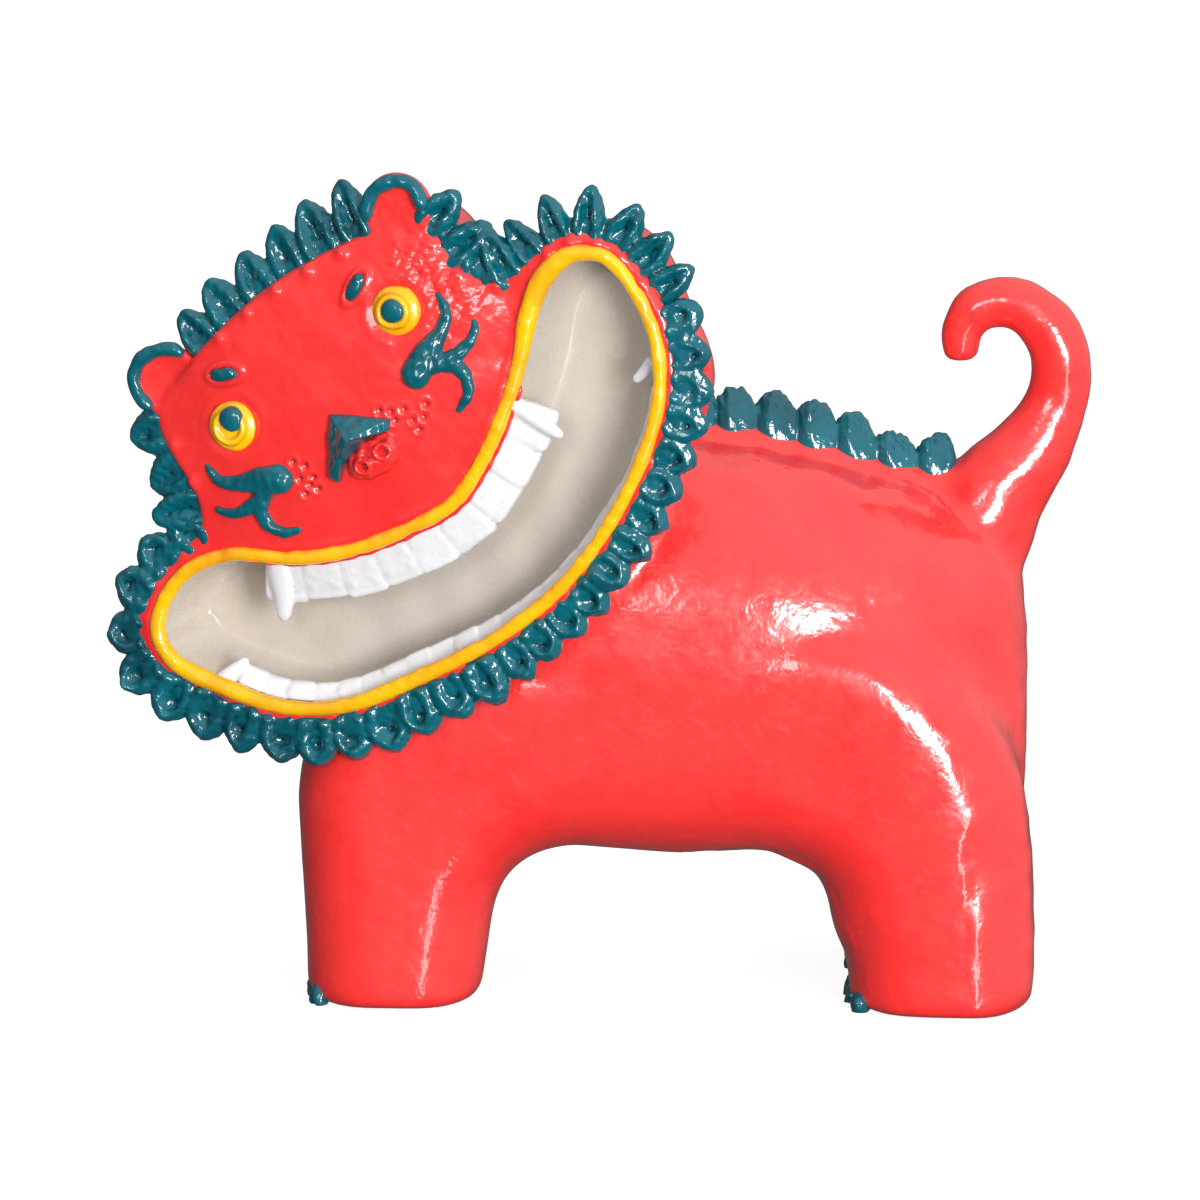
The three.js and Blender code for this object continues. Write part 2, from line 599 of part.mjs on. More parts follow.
// One lock of the mane: x across, y away from the head, z towards the viewer. A groove runs down its front.
function lock(half, long, tip) {
  const stations = [[-2.5, 0.9, 0.9, 0.4], [long * 0.58, 1, 1, 0.8], [long * 0.95, tip, 0.5, 0.2]];
  const rings = stations.map(([y, wide, deep, groove]) => {
    const [w, t] = [half * wide, LOCK_THICK * deep];
    const section = [[w, -t * 0.6], [w * 0.6, t * 0.8], [0, t * (0.8 - groove)], [-w * 0.6, t * 0.8], [-w, -t * 0.6]];
    return section.map(([x, z]) => new THREE.Vector3(x, y, z));
  });
  return loft(rings);
}

// Share of the outline's length at the place nearest to a point.
function brimShareAt(curve, [x, y]) {
  let best = 0;
  let nearest = Infinity;
  for (let i = 0; i < SEARCH_STEPS; i += 1) {
    const share = i / SEARCH_STEPS;
    const gap = curve.getPointAt(share).distanceTo(new THREE.Vector3(x, y, 0));
    if (gap < nearest) {
      nearest = gap;
      best = share;
    }
  }
  return best;
}

function mane() {
  const curve = closedCurve(BRIM);
  const solids = [];
  for (const { from, to, count, long, tip, n } of MANE) {
    const first = brimShareAt(curve, from);
    const span = (brimShareAt(curve, to) - first + 1) % 1;
    const pitch = (span * curve.getLength()) / (count - 1);
    for (let i = 0; i < count; i += 1) {
      const share = (first + (span * i) / (count - 1)) % 1;
      const at = curve.getPointAt(share);
      const along = curve.getTangentAt(share);
      const outward = new THREE.Vector3(-along.y, along.x, 0);
      const across = new THREE.Vector3().crossVectors(outward, new THREE.Vector3(0, 0, 1));
      const size = 1 + 0.06 * Math.sin(i * 1.9 + long);
      const place = new THREE.Matrix4().makeBasis(across, outward, new THREE.Vector3(0, 0, 1));
      place.setPosition(at.x, at.y, n + 0.5 * Math.sin(i * 2.6));
      solids.push(inFace(lock(pitch * LOCK_SHARE, long * size, tip).applyMatrix4(place)));
    }
  }
  return joined(solids);
}

// Everything on the front of the head.
function features() {
  const pair = (make) => [make(-1), make(1)];
  return joined([
    inFace(lip()), teeth(UPPER_TEETH, true), teeth(LOWER_TEETH, false), nose(), mane(),
    ...EARS.map(ear), ...pair(eye), ...pair(brow), ...pair(whiskers),
  ]);
}

function body() {
  const solids = [torso(), tail(), neck(), crest()].map(toSolid);
  for (const side of [-1, 1]) {
    solids.push(slab(side));
    solids.push(...toes(FEET.front, side, TOE.frontTall), ...toes(FEET.rear, side, TOE.rearTall));
  }
  return joined(solids);
}

function lion() {
  const hollowed = body().add(inFace(drum())).subtract(inFace(mouthHollow()));
  const geometry = toGeometry(hollowed.add(features()));
  geometry.translate(FOOTPRINT_SHIFT.x, FOOTPRINT_SHIFT.y, 0);
  geometry.computeVertexNormals();
  const lacquer = new THREE.MeshStandardMaterial({ color: RED, roughness: 0.18, metalness: 0 });
  const mesh = new THREE.Mesh(geometry, lacquer);
  mesh.name = "lion_figurine";
  return mesh;
}

const group = new THREE.Group();
group.add(lion());

export default group;
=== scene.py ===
# %% [markdown]
# # A red lion in gloss lacquer
# The real figure is one hollow cast piece, painted by hand: red all over, blue-green locks, crest and
# claws, a yellow lip and eyes, white teeth. Everything lies in the imported model's own frame, so that is
# loaded first.

# %% Load the imported model as the frame
import math

import bpy
import numpy as np
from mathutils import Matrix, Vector


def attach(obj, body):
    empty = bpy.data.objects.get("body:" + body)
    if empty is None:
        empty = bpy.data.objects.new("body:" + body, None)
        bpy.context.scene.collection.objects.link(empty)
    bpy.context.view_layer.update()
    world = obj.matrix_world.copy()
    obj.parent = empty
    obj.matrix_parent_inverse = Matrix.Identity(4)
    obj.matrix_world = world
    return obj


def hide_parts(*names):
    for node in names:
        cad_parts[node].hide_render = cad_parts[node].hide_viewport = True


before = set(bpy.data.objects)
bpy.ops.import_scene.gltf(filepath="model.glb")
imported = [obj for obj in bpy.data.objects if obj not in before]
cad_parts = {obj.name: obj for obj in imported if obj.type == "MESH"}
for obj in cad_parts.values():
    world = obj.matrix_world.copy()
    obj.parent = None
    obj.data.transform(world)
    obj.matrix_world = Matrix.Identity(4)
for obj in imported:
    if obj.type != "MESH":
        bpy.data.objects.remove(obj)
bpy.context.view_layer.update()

MM = 0.001

# %% [markdown]
# ## Curves
# Most forms of a modelled clay figure follow a line that a hand drew: the edge of the head, the lip, the
# tail. It is given by a few places with a smooth curve through them, of the centripetal kind, which makes
# no loops where the places stand close together.

# %% A smooth curve through places
SPAN_STEPS = 24
WAVE_COUNT = 20


def blend(a, b, start, end, t):
    """The mix of a and b that is all a at t = start and all b at t = end."""
    return (a * (end - t) + b * (t - start)) / (end - start)


def evenly(line, count, closed=False):
    """Places at even distances along a line of straight pieces, by interpolating over its running length."""
    if closed:
        line = np.concatenate([line, line[:1]])
    run = np.concatenate([[0], np.cumsum(np.linalg.norm(np.diff(line, axis=0), axis=1))])
    stops = np.linspace(0, run[-1], count, endpoint=not closed)
    return np.stack([np.interp(stops, run, line[:, a]) for a in range(line.shape[1])], 1)


def through(places, count, closed=False):
    """A centripetal Catmull-Rom curve, as places at even distances.

    Each span mixes the lines through its four nearest places twice over, where a place's share is measured in
    the square roots of the distances between them.
    """
    p = np.asarray(places, float)
    if closed:
        p = np.concatenate([p[-1:], p, p[:2]])
    else:
        p = np.concatenate([2 * p[:1] - p[1:2], p, 2 * p[-1:] - p[-2:-1]])
    knots = np.concatenate([[0], np.cumsum(np.sqrt(np.linalg.norm(np.diff(p, axis=0), axis=1)))])
    k0, k1, k2, k3 = (knots[i:len(knots) - 3 + i, None, None] for i in range(4))
    p0, p1, p2, p3 = (p[i:len(p) - 3 + i, None, :] for i in range(4))
    t = k1 + (k2 - k1) * np.linspace(0, 1, SPAN_STEPS, endpoint=False)[None, :, None]
    a, b, c = blend(p0, p1, k0, k1, t), blend(p1, p2, k1, k2, t), blend(p2, p3, k2, k3, t)
    curve = blend(blend(a, b, k0, k2, t), blend(b, c, k1, k3, t), k1, k2, t).reshape(-1, p.shape[1])
    if not closed:
        curve = np.concatenate([curve, p[-2:-1]])
    return evenly(curve, count, closed)


def along(line, closed=False):
    """The direction of a line at each of its places: from the one before to the one after, at length one."""
    if closed:
        step = np.roll(line, -1, 0) - np.roll(line, 1, 0)
    else:
        step = np.gradient(line, axis=0)
    return step / np.linalg.norm(step, axis=1, keepdims=True)


def hill(distance, width):
    """A rounded bump, e to the power of minus (distance / width) squared."""
    return np.exp(-(distance / width) ** 2)


def mound(x, y, middle, width):
    """A round bump in a plane: the hill of the distance from its middle."""
    return hill(np.hypot(x - middle[0], y - middle[1]), width)


def step_up(value, low, high):
    """0 below low, 1 above high, and the smooth curve 3 t^2 - 2 t^3 between them."""
    t = np.clip((value - low) / (high - low), 0, 1)
    return t * t * (3 - 2 * t)


def waves(places, length, seed):
    """Soft lumps about one length apart, mostly between -1 and 1: sine waves summed in random directions."""
    rng = np.random.default_rng(seed)
    heading = rng.normal(size=(WAVE_COUNT, 3))
    heading /= np.linalg.norm(heading, axis=1, keepdims=True)
    rate = 2 * np.pi / length * rng.uniform(0.7, 1.4, (WAVE_COUNT, 1))
    phase = rng.uniform(0, 2 * np.pi, WAVE_COUNT)
    return np.sin(places @ (heading * rate).T + phase).sum(1) / math.sqrt(WAVE_COUNT)


def lumps(grid, length, seed):
    """The waves for a grid of places, as one more number at each."""
    return waves(grid.reshape(-1, 3), length, seed).reshape(grid.shape[:-1])[..., None]


def once_round(count):
    """Angles at even steps once round a ring."""
    return np.linspace(0, 2 * np.pi, count, endpoint=False)


def boxy(value, power):
    """A value's size to a power, with its own sign. A circle's sine and cosine get boxier below power 1."""
    return np.sign(value) * np.abs(value) ** power


def right_of(way):
    """The direction to the right of each direction in a plane."""
    return np.stack([way[:, 1], -way[:, 0]], 1)


# %% [markdown]
# ## Skins
# A skin is a grid of places with a face between each four neighbours. Its rings run round a form and
# close at both ends. The sum of the little volumes between each face and the origin tells if it faces
# outwards.


# %% A closed skin over rings of places
def volume(vertices, quads, triangles):
    """The room inside a closed skin: a sixth of the sum of the triple products of its triangles."""
    corners = np.concatenate([quads[:, [0, 1, 2]], quads[:, [0, 2, 3]], triangles])
    a, b, c = (vertices[corners[:, i]] for i in range(3))
    return float(np.einsum("ij,ij->", a, np.cross(b, c))) / 6


def outwards(vertices, quads, triangles):
    """A closed skin, turned over if the room inside it comes out below zero."""
    if volume(vertices - vertices.mean(0), quads, triangles) < 0:
        quads, triangles = quads[:, ::-1], triangles[:, ::-1]
    return vertices, quads, triangles


def between_rings(count, sides, wrap=False):
    """The four-sided faces between rings that follow each other."""
    row = np.arange(count if wrap else count - 1)[:, None] * sides
    below = (row + sides) % (count * sides)
    here = np.arange(sides)
    beside = (here + 1) % sides
    return np.stack([row + here, row + beside, below + beside, below + here], -1).reshape(-1, 4)


def skin(rings, wrap=False):
    """A closed skin, as vertices, four-sided faces and triangles.

    rings holds places by item, ring and step round the ring, and the items may be left out. Where it wraps,
    the last ring joins the first, as on a hoop. Otherwise each end ring closes on its own middle.
    """
    rings = np.asarray(rings, float)
    if rings.ndim == 3:
        rings = rings[None]
    items, count, sides, _ = rings.shape
    quads = between_rings(count, sides, wrap)
    vertices = rings.reshape(items, -1, 3)
    triangles = np.zeros((0, 3), int)
    if not wrap:
        vertices = np.concatenate([vertices, rings[:, [0, -1]].mean(2)], 1)
        here = np.arange(sides)
        beside = (here + 1) % sides
        first, last = count * sides, (count - 1) * sides
        near = np.stack([beside, here, np.full(sides, first)], 1)
        far = np.stack([last + here, last + beside, np.full(sides, first + 1)], 1)
        triangles = np.concatenate([near, far])
    start = (np.arange(items) * vertices.shape[1])[:, None, None]
    quads, triangles = (quads + start).reshape(-1, 4), (triangles + start).reshape(-1, 3)
    return outwards(vertices.reshape(-1, 3), quads, triangles)


def together(skins):
    """Several skins as one, with the numbers of their vertices moved on."""
    vertices, *faces = zip(*skins)
    starts = np.cumsum([0] + [len(v) for v in vertices[:-1]])
    moved = [np.concatenate([part + start for part, start in zip(parts, starts)]) for parts in faces]
    return np.concatenate(vertices), *moved


def egg(half, square=1.0, rings=18, sides=28):
    """A superellipsoid: an egg whose sine and cosine are raised to a power, rounder at 1 and boxier below."""
    a = np.linspace(-np.pi / 2, np.pi / 2, rings + 2)[1:-1, None]
    b = np.linspace(-np.pi, np.pi, sides, endpoint=False)[None, :]
    level = boxy(np.cos(a), square)
    shape = np.stack([level * boxy(np.cos(b), square), level * boxy(np.sin(b), square),
                      boxy(np.sin(a), square) * np.ones_like(b)], -1)
    return shape * np.asarray(half, float)


def tube(line, radius, sides=24, flat=1.0, close=False, up=(0, 0, 1.0)):
    """A round section carried along a line.

    A place on it is the line's place plus radius times (cosine of the angle times the direction across, plus
    sine times the direction up, times how flat it is).
    """
    heading = along(line, close)
    across = np.cross(up, heading)
    across /= np.linalg.norm(across, axis=1, keepdims=True)
    raised = np.cross(heading, across)
    angle = once_round(sides)[None, :, None]
    ring = across[:, None] * np.cos(angle) + raised[:, None] * np.sin(angle) * flat
    return line[:, None] + ring * np.asarray(radius, float)[:, None, None]


def finger(radius, tip, end):
    """Rounds off both ends of a list of radii over shares of its length: the radius times sqrt(1 - t^2).

    t grows from 0 to 1 towards an end, and a twentieth of the radius is always left.
    """
    share = np.linspace(0, 1, len(radius))
    near = np.clip(1 - share / tip, 0, 1)
    far = np.clip(1 - (1 - share) / end, 0, 1)
    return np.asarray(radius) * np.sqrt(np.clip(1 - np.maximum(near, far) ** 2, 0.0025, 1))


# %% [markdown]
# ## Pieces
# The figure was drawn in millimetres near the origin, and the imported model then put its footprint's
# middle there, so each piece is shifted and scaled as it is made. The red body and face are too branched
# for one grid. They are several closed skins that overlap and are melted into one by Blender's voxel
# remesh, as a caster melts wax parts together, and the seams are rubbed smooth in numpy.

# %% Making and melting meshes
FOOTPRINT_SHIFT = np.array([-0.37, 11.76, 0.0])


def put_in_scene(name, data):
    thing = bpy.data.objects.new(name, data)
    bpy.context.scene.collection.objects.link(thing)
    return thing


def bare(name, surface):
    """An object that carries a skin, with its places in metres."""
    vertices, quads, triangles = surface
    mesh = bpy.data.meshes.new(name)
    mesh.from_pydata(((vertices + FOOTPRINT_SHIFT) * MM).tolist(), [], quads.tolist() + triangles.tolist())
    return put_in_scene(name, mesh)


def baked(thing):
    """The mesh of an object as its modifiers leave it; the object itself is cleared away."""
    graph = bpy.context.evaluated_depsgraph_get()
    mesh = bpy.data.meshes.new_from_object(thing.evaluated_get(graph))
    old = thing.data
    bpy.data.objects.remove(thing)
    bpy.data.meshes.remove(old)
    return mesh


def melted(surface, grain):
    """The mesh of one even skin over everything in surface, with faces about one grain wide."""
    thing = bare("melting", surface)
    melt = thing.modifiers.new("melt", "REMESH")
    melt.mode = "VOXEL"
    melt.voxel_size = grain * MM
    return baked(thing)


def hollowed(mesh, cutter):
    """The mesh less the room that the cutter takes up."""
    thing, tool = put_in_scene("hollowing", mesh), put_in_scene("cutter", cutter)
    cut = thing.modifiers.new("cut", "BOOLEAN")
    cut.operation = "DIFFERENCE"
    cut.solver = "EXACT"
    cut.object = tool
    result = baked(thing)
    bpy.data.objects.remove(tool)
    return result


def read_all(items, key, width, kind=np.float32):
    """One property of every item, as rows of numbers."""
    flat = np.empty(len(items) * width, kind)
    items.foreach_get(key, flat)
    return flat.reshape(-1, width)


def places_of(mesh):
    """The mesh's places in millimetres, before the footprint's shift."""
    return read_all(mesh.vertices, "co", 3).astype(float) / MM - FOOTPRINT_SHIFT


def put_places(mesh, places):
    mesh.vertices.foreach_set("co", ((places + FOOTPRINT_SHIFT) * MM).astype(np.float32).ravel())
    mesh.update()


def facing(mesh):
    """The direction outwards at each vertex."""
    return read_all(mesh.vertex_normals, "vector", 3).astype(float)


def pushed(mesh, amount, length, seed):
    """The mesh's places, moved in and out by waves."""
    p = places_of(mesh)
    return p + facing(mesh) * (amount * waves(p, length, seed))[:, None]


def neighbours(mesh):
    """Both directions of every edge, and how many neighbours each vertex has."""
    pairs = read_all(mesh.edges, "vertices", 2, np.int32)
    pairs = np.concatenate([pairs, pairs[:, ::-1]])
    return pairs, np.bincount(pairs[:, 0], minlength=len(mesh.vertices))[:, None]


def averaged(values, pairs, number):
    """For each vertex, the mean of a value over its neighbours."""
    total = [np.bincount(pairs[:, 0], values[pairs[:, 1], a], len(values)) for a in range(values.shape[1])]
    return np.stack(total, 1) / number


def rubbed(mesh, rounds, where=None):
    """Rubs a mesh smooth: each place moves halfway to the mean of its neighbours, round by round.

    where takes the places and gives the share of that rubbing for each of them.
    """
    pairs, number = neighbours(mesh)
    places = places_of(mesh)
    share = 0.5 if where is None else 0.5 * where(places)[:, None]
    for _ in range(rounds):
        places += share * (averaged(places, pairs, number) - places)
    put_places(mesh, places)


def mark_edges(mesh, reach):
    """Keeps, as the attribute edge, how sharply the surface bends: 1 / radius in mm, below 0 in a crease.

    A place on a ball of radius r stands d^2 / 2r above neighbours at distance d. So this is twice its height
    over their mean, divided by their mean squared distance, and then spread over the nearest places.
    """
    pairs, number = neighbours(mesh)
    places = places_of(mesh)
    square = ((places[pairs[:, 1]] - places[pairs[:, 0]]) ** 2).sum(1)
    square = np.bincount(pairs[:, 0], square, len(places)) / number[:, 0]
    above = np.einsum("ij,ij->i", places - averaged(places, pairs, number), facing(mesh))
    bend = np.clip(2 * above / np.maximum(square, 1e-6), -3, 3)[:, None]
    for _ in range(reach):
        bend = 0.5 * (bend + averaged(bend, pairs, number))
    attribute = mesh.attributes.new("edge", "FLOAT", "POINT")
    attribute.data.foreach_set("value", bend[:, 0].astype(np.float32))


def piece(name, form, material, reach=2):
    """A finished piece from a skin or a mesh: shaded smooth, painted, and riding on the figure's one body."""
    if isinstance(form, tuple):
        thing = bare(name, form)
    else:
        form.name = name
        thing = put_in_scene(name, form)
    mesh = thing.data
    mesh.polygons.foreach_set("use_smooth", np.ones(len(mesh.polygons), bool))
    mark_edges(mesh, reach)
    mesh.materials.clear()
    mesh.materials.append(material)
    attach(thing, "root")
    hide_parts("lion_figurine")
    mesh.calc_loop_triangles()
    print(name, len(mesh.loop_triangles), "triangles")
    return thing

# %% [markdown]
# ## Paints
# All of it is brushed gloss lacquer, so the paints share one recipe: a colour that is deeper where paint
# lies thick and lighter where it runs thin, a clear coat, and a skin that ripples with the brush and has a
# finer grain. The attribute edge tells ridges from creases, so wear shows on the high edges, and the creases
# get painted shade, a darker copy of the deep colour. Textures read Object coordinates in metres: a scale of
# 100 gives marks about 10 mm wide.

# %% One recipe for the brushed lacquers
# Scale of each noise, and the range of it that counts.
BRUSHED, RUBBED, SHEEN = (55, 0.4, 0.72), (420, 0.42, 0.56), (240, 0.35, 0.7)
# Scale, and depth in mm.
GRAIN = (700, 0.06)


def paint(name, colour, deep, rough, ripple, painted_shade_bends=(0.15, 1.0), painted_shade_dark=0.45, coat=0.6, worn=None, wear=None):
    """A brushed lacquer: its thin paint, its deep one and the paint of its worn edges, if any.

    wear gives the bends (1 / mm) where rubbing starts and is full. The crease bends are given the same way
    for the painted shade in creases, and the dark factor is how dark that painted shade is against deep.
    ripple is a scale and a depth in mm.
    """
    material = bpy.data.materials.new("brushed_" + name)
    material.use_nodes = True
    material["slot"] = name
    nodes, links = material.node_tree.nodes, material.node_tree.links
    shader = nodes["Principled BSDF"]
    place = nodes.new("ShaderNodeTexCoord").outputs["Object"]

    def marks(scale, detail, warp=0.0):
        texture = nodes.new("ShaderNodeTexNoise")
        for key, number in (("Scale", scale), ("Detail", detail), ("Roughness", 0.55), ("Distortion", warp)):
            texture.inputs[key].default_value = number
        links.new(place, texture.inputs["Vector"])
        return texture.outputs["Fac"]

    def ranged(value, low, high, to_low=0.0, to_high=1.0):
        mapping = nodes.new("ShaderNodeMapRange")
        for key, number in (("From Min", low), ("From Max", high), ("To Min", to_low), ("To Max", to_high)):
            mapping.inputs[key].default_value = number
        links.new(value, mapping.inputs["Value"])
        return mapping.outputs["Result"]

    def mixed(share, first, second):
        mix = nodes.new("ShaderNodeMix")
        mix.data_type = "RGBA"
        links.new(share, mix.inputs["Factor"])
        for socket, value in ((mix.inputs["A"], first), (mix.inputs["B"], second)):
            if isinstance(value, tuple):
                socket.default_value = (*value, 1)
            else:
                links.new(value, socket)
        return mix.outputs["Result"]

    edge = nodes.new("ShaderNodeAttribute")
    edge.attribute_name = "edge"
    bend = edge.outputs["Fac"]
    shade = mixed(ranged(marks(BRUSHED[0], 3, 0.6), *BRUSHED[1:]), colour, deep)
    # Painted shade: the creases are darkened towards a darker copy of deep.
    shade = mixed(ranged(bend, -painted_shade_bends[0], -painted_shade_bends[1]), shade, tuple(painted_shade_dark * c for c in deep))
    if worn:
        rubbed_off = nodes.new("ShaderNodeMath")
        rubbed_off.operation = "MULTIPLY"
        links.new(ranged(bend, *wear), rubbed_off.inputs[0])
        links.new(ranged(marks(RUBBED[0], 4), *RUBBED[1:]), rubbed_off.inputs[1])
        shade = mixed(rubbed_off.outputs[0], shade, worn)
    links.new(shade, shader.inputs["Base Color"])
    links.new(ranged(marks(SHEEN[0], 3), *SHEEN[1:], *rough), shader.inputs["Roughness"])
    shader.inputs["Coat Weight"].default_value = coat
    shader.inputs["Coat Roughness"].default_value = 0.05
    normal = None
    for scale, depth in (ripple, GRAIN):
        bump = nodes.new("ShaderNodeBump")
        bump.inputs["Distance"].default_value = depth * MM
        links.new(marks(scale, 2, 0.4), bump.inputs["Height"])
        if normal:
            links.new(normal, bump.inputs["Normal"])
        normal = bump.outputs["Normal"]
    links.new(normal, shader.inputs["Normal"])
    links.new(normal, shader.inputs["Coat Normal"])
    return material


RED = paint("red_lacquer", (0.88, 0.033, 0.031), (0.82, 0.021, 0.021), rough=(0.16, 0.32), ripple=(150, 0.28),
            painted_shade_bends=(0.1, 0.8))
TEAL = paint("teal_lacquer", (0.0, 0.115, 0.152), (0.0, 0.066, 0.092), rough=(0.08, 0.18), ripple=(420, 0.2),
             painted_shade_dark=0.2, coat=0.15, worn=(0.06, 0.15, 0.165), wear=(0.8, 1.9))
YELLOW = paint("yellow_lacquer", (0.95, 0.51, 0.0), (0.86, 0.32, 0.003), rough=(0.15, 0.28),
               ripple=(300, 0.22))
GREY = paint("mouth_grey", (0.56, 0.503, 0.44), (0.54, 0.483, 0.42), rough=(0.2, 0.35), ripple=(70, 0.2),
             painted_shade_bends=(0.08, 0.5), painted_shade_dark=0.75, coat=0.3)
WHITE = paint("tooth_white", (0.735, 0.735, 0.755), (0.69, 0.69, 0.72), rough=(0.2, 0.35), ripple=(260, 0.2),
              painted_shade_bends=(0.1, 0.9), painted_shade_dark=0.6)
print("paints", [m.name for m in (RED, TEAL, YELLOW, GREY, WHITE)])

# %% [markdown]
# ## The face's own frame
# The head is a thick drum with a nearly flat face, turned a little towards the lion's front and tipped
# over by 35 degrees. Its features are placed as on a plate that lies flat: x along the line of the eyes,
# y up the forehead and n out of the face. One table of three directions then stands it up.

# %% Directions and lines of the face
FACE_MIDDLE = np.array([-53.5, -49, 139.9])
TURN, TIP = math.radians(18.5), math.radians(35)
OUT = np.array([-math.sin(TURN), -math.cos(TURN), 0])
LEVEL = np.array([math.cos(TURN), -math.sin(TURN), 0])
UPRIGHT = np.array([0, 0, 1.0])
FACE_AXES = np.stack([LEVEL * math.cos(TIP) + UPRIGHT * math.sin(TIP),
                      UPRIGHT * math.cos(TIP) - LEVEL * math.sin(TIP), OUT])

# Outline of the head and middle line of the lip, both clockwise as seen from the front.
BRIM = [
    (-33, 52), (-18, 55.5), (2, 57.5), (20, 56.5), (36, 54), (46, 52), (48.5, 44), (48.5, 36), (51, 29),
    (57, 24.5), (64, 25), (74, 26), (82.5, 23), (88, 14.5), (89.5, 3), (87.5, -11), (80, -24), (66, -35),
    (47, -45.5), (25, -52), (2, -54), (-23, -51.5), (-46, -46), (-62, -36), (-75, -21.5), (-83, -7.5),
    (-82, 4), (-73.5, 12), (-62, 15.5), (-53, 15.5), (-48, 20), (-46, 28), (-46, 40), (-43, 49),
]
LIP = [
    (-58, 9.2), (-46, 6), (-33, -3), (-18, -10), (0, -14), (13, -14.8), (28, -9), (40, -1.5), (49, 5.5),
    (58, 14), (67, 19.4), (76, 20), (83, 14.8), (85, 4), (82.5, -10), (75, -22), (63, -32), (44, -42),
    (24, -48), (2, -49.3), (-22, -46.5), (-43, -42), (-58, -33), (-69, -20), (-76.4, -8), (-76, 0.3),
    (-69, 6.6),
]
LINE_STEPS = 720
BRIM_LINE, LIP_LINE = through(BRIM, LINE_STEPS, closed=True), through(LIP, LINE_STEPS, closed=True)
SHARES = np.linspace(0, 1, LINE_STEPS, endpoint=False)
BRIM_LENGTH, LIP_LENGTH = (float(np.linalg.norm(np.diff(line, axis=0), axis=1).sum())
                           for line in (BRIM_LINE, LIP_LINE))


def in_place(places):
    """Face places (x, y, n) as places of the figure: the middle plus x, y and n times their directions."""
    return FACE_MIDDLE + np.asarray(places) @ FACE_AXES


def on_face(places):
    """Places of the figure as face places: in_place the other way round."""
    return (np.asarray(places) - FACE_MIDDLE) @ FACE_AXES.T


def dome(x, y):
    """The forehead's height over the face's plane: 6.5 mm times 1 - (x/54)^2 - ((y - 24)/41)^2."""
    return 6.5 * np.maximum(0, 1 - (x / 54) ** 2 - ((y - 24) / 41) ** 2)


def at_share(line, share):
    """Place and direction on a closed line at shares of its length."""
    at, way = (np.stack([np.interp(share, SHARES, table[:, a], period=1) for a in range(2)], -1)
               for table in (line, along(line, True)))
    return at, way / np.linalg.norm(way, axis=-1, keepdims=True)


def share_near(line, place):
    """The share of a closed line's length where it passes nearest to a place."""
    return float(SHARES[np.argmin(np.linalg.norm(line - np.asarray(place), axis=1))])


def to_line(places, line):
    """Distance in the face's plane from each place to a line."""
    nearest = np.full(len(places), np.inf)
    for part in np.array_split(line, 12):
        gap = np.linalg.norm(places[:, None, :2] - part[None], axis=2).min(1)
        nearest = np.minimum(nearest, gap)
    return nearest


print("brim", round(BRIM_LENGTH), "mm round, lip", round(LIP_LENGTH), "mm round")

# %% [markdown]
# ## The body
# A fat pillow for the barrel, a slab with two legs for each side, a curled rope of clay for the tail and
# a lump for the neck. A clay original is just that: lumps pressed together and smoothed with a wet
# finger. So the same lumps are laid over each other here, melted and rubbed, and then pushed in and out a
# little where the photograph shows hips, creases and thumb marks.

# %% Lumps of the body
BODY_GRAIN = 1.45
HALF_WIDTH, BELLY, SOLE_EDGE = 48, 46, 3.4
ROUNDING = np.array([19.0, 22.0])
PLAN_POWER = 2.4
SIDEWAYS = (0, 1.0, 0)
# Along the body and up.
BACK = through([(-90, 143), (-38, 149), (0, 147.5), (30, 143.5), (55, 139), (78, 133), (96, 128),
                (112, 124)], 200)
# Share of the height, front end, rear end and share of the width.
TORSO = through([(0, -66, 100, 0.74), (0.1, -76.8, 110.8, 0.93), (0.36, -77.3, 111.2, 1.0),
                 (0.55, -76, 110.6, 0.985), (0.73, -72, 109.8, 0.905), (0.87, -66, 107, 0.745),
                 (0.96, -58, 101, 0.5), (1, -50, 94, 0.22)], 300)


def splayed(x, y):
    """The figure is wider towards the rear: y grows by 0.11% for each millimetre behind x = 20."""
    return y * (1 + (x - 20) * 0.0011)


def barrel():
    """Rings of one oblong, stacked from the belly to the back and bent so that the top follows the back.

    The oblong is a superellipse: |x / half length| to the power 2.4 plus |y / half width| to the same is one.
    """
    share = np.concatenate([[0, 0.03], np.linspace(0.08, 0.9, 22), [0.93, 0.96, 0.985, 1]])
    front, rear, wide = (np.interp(share, TORSO[:, 0], TORSO[:, i])[:, None] for i in (1, 2, 3))
    angle = once_round(160)[None, :]
    x = (front + rear) / 2 + (rear - front) / 2 * boxy(np.cos(angle), 2 / PLAN_POWER)
    y = splayed(x, HALF_WIDTH * boxy(np.sin(angle), 2 / PLAN_POWER)) * wide
    top = np.interp(x, BACK[:, 0], BACK[:, 1])
    return skin(np.stack([x, y, BELLY + (top - BELLY) * share[:, None]], -1))


def bow(a, b, c):
    """A parabola's arc from a to c that heads for b: (1 - t)^2 a + 2 t (1 - t) b + t^2 c."""
    t = np.linspace(0, 1, 10)[:, None]
    return (1 - t) ** 2 * np.array(a) + 2 * t * (1 - t) * np.array(b) + t ** 2 * np.array(c)


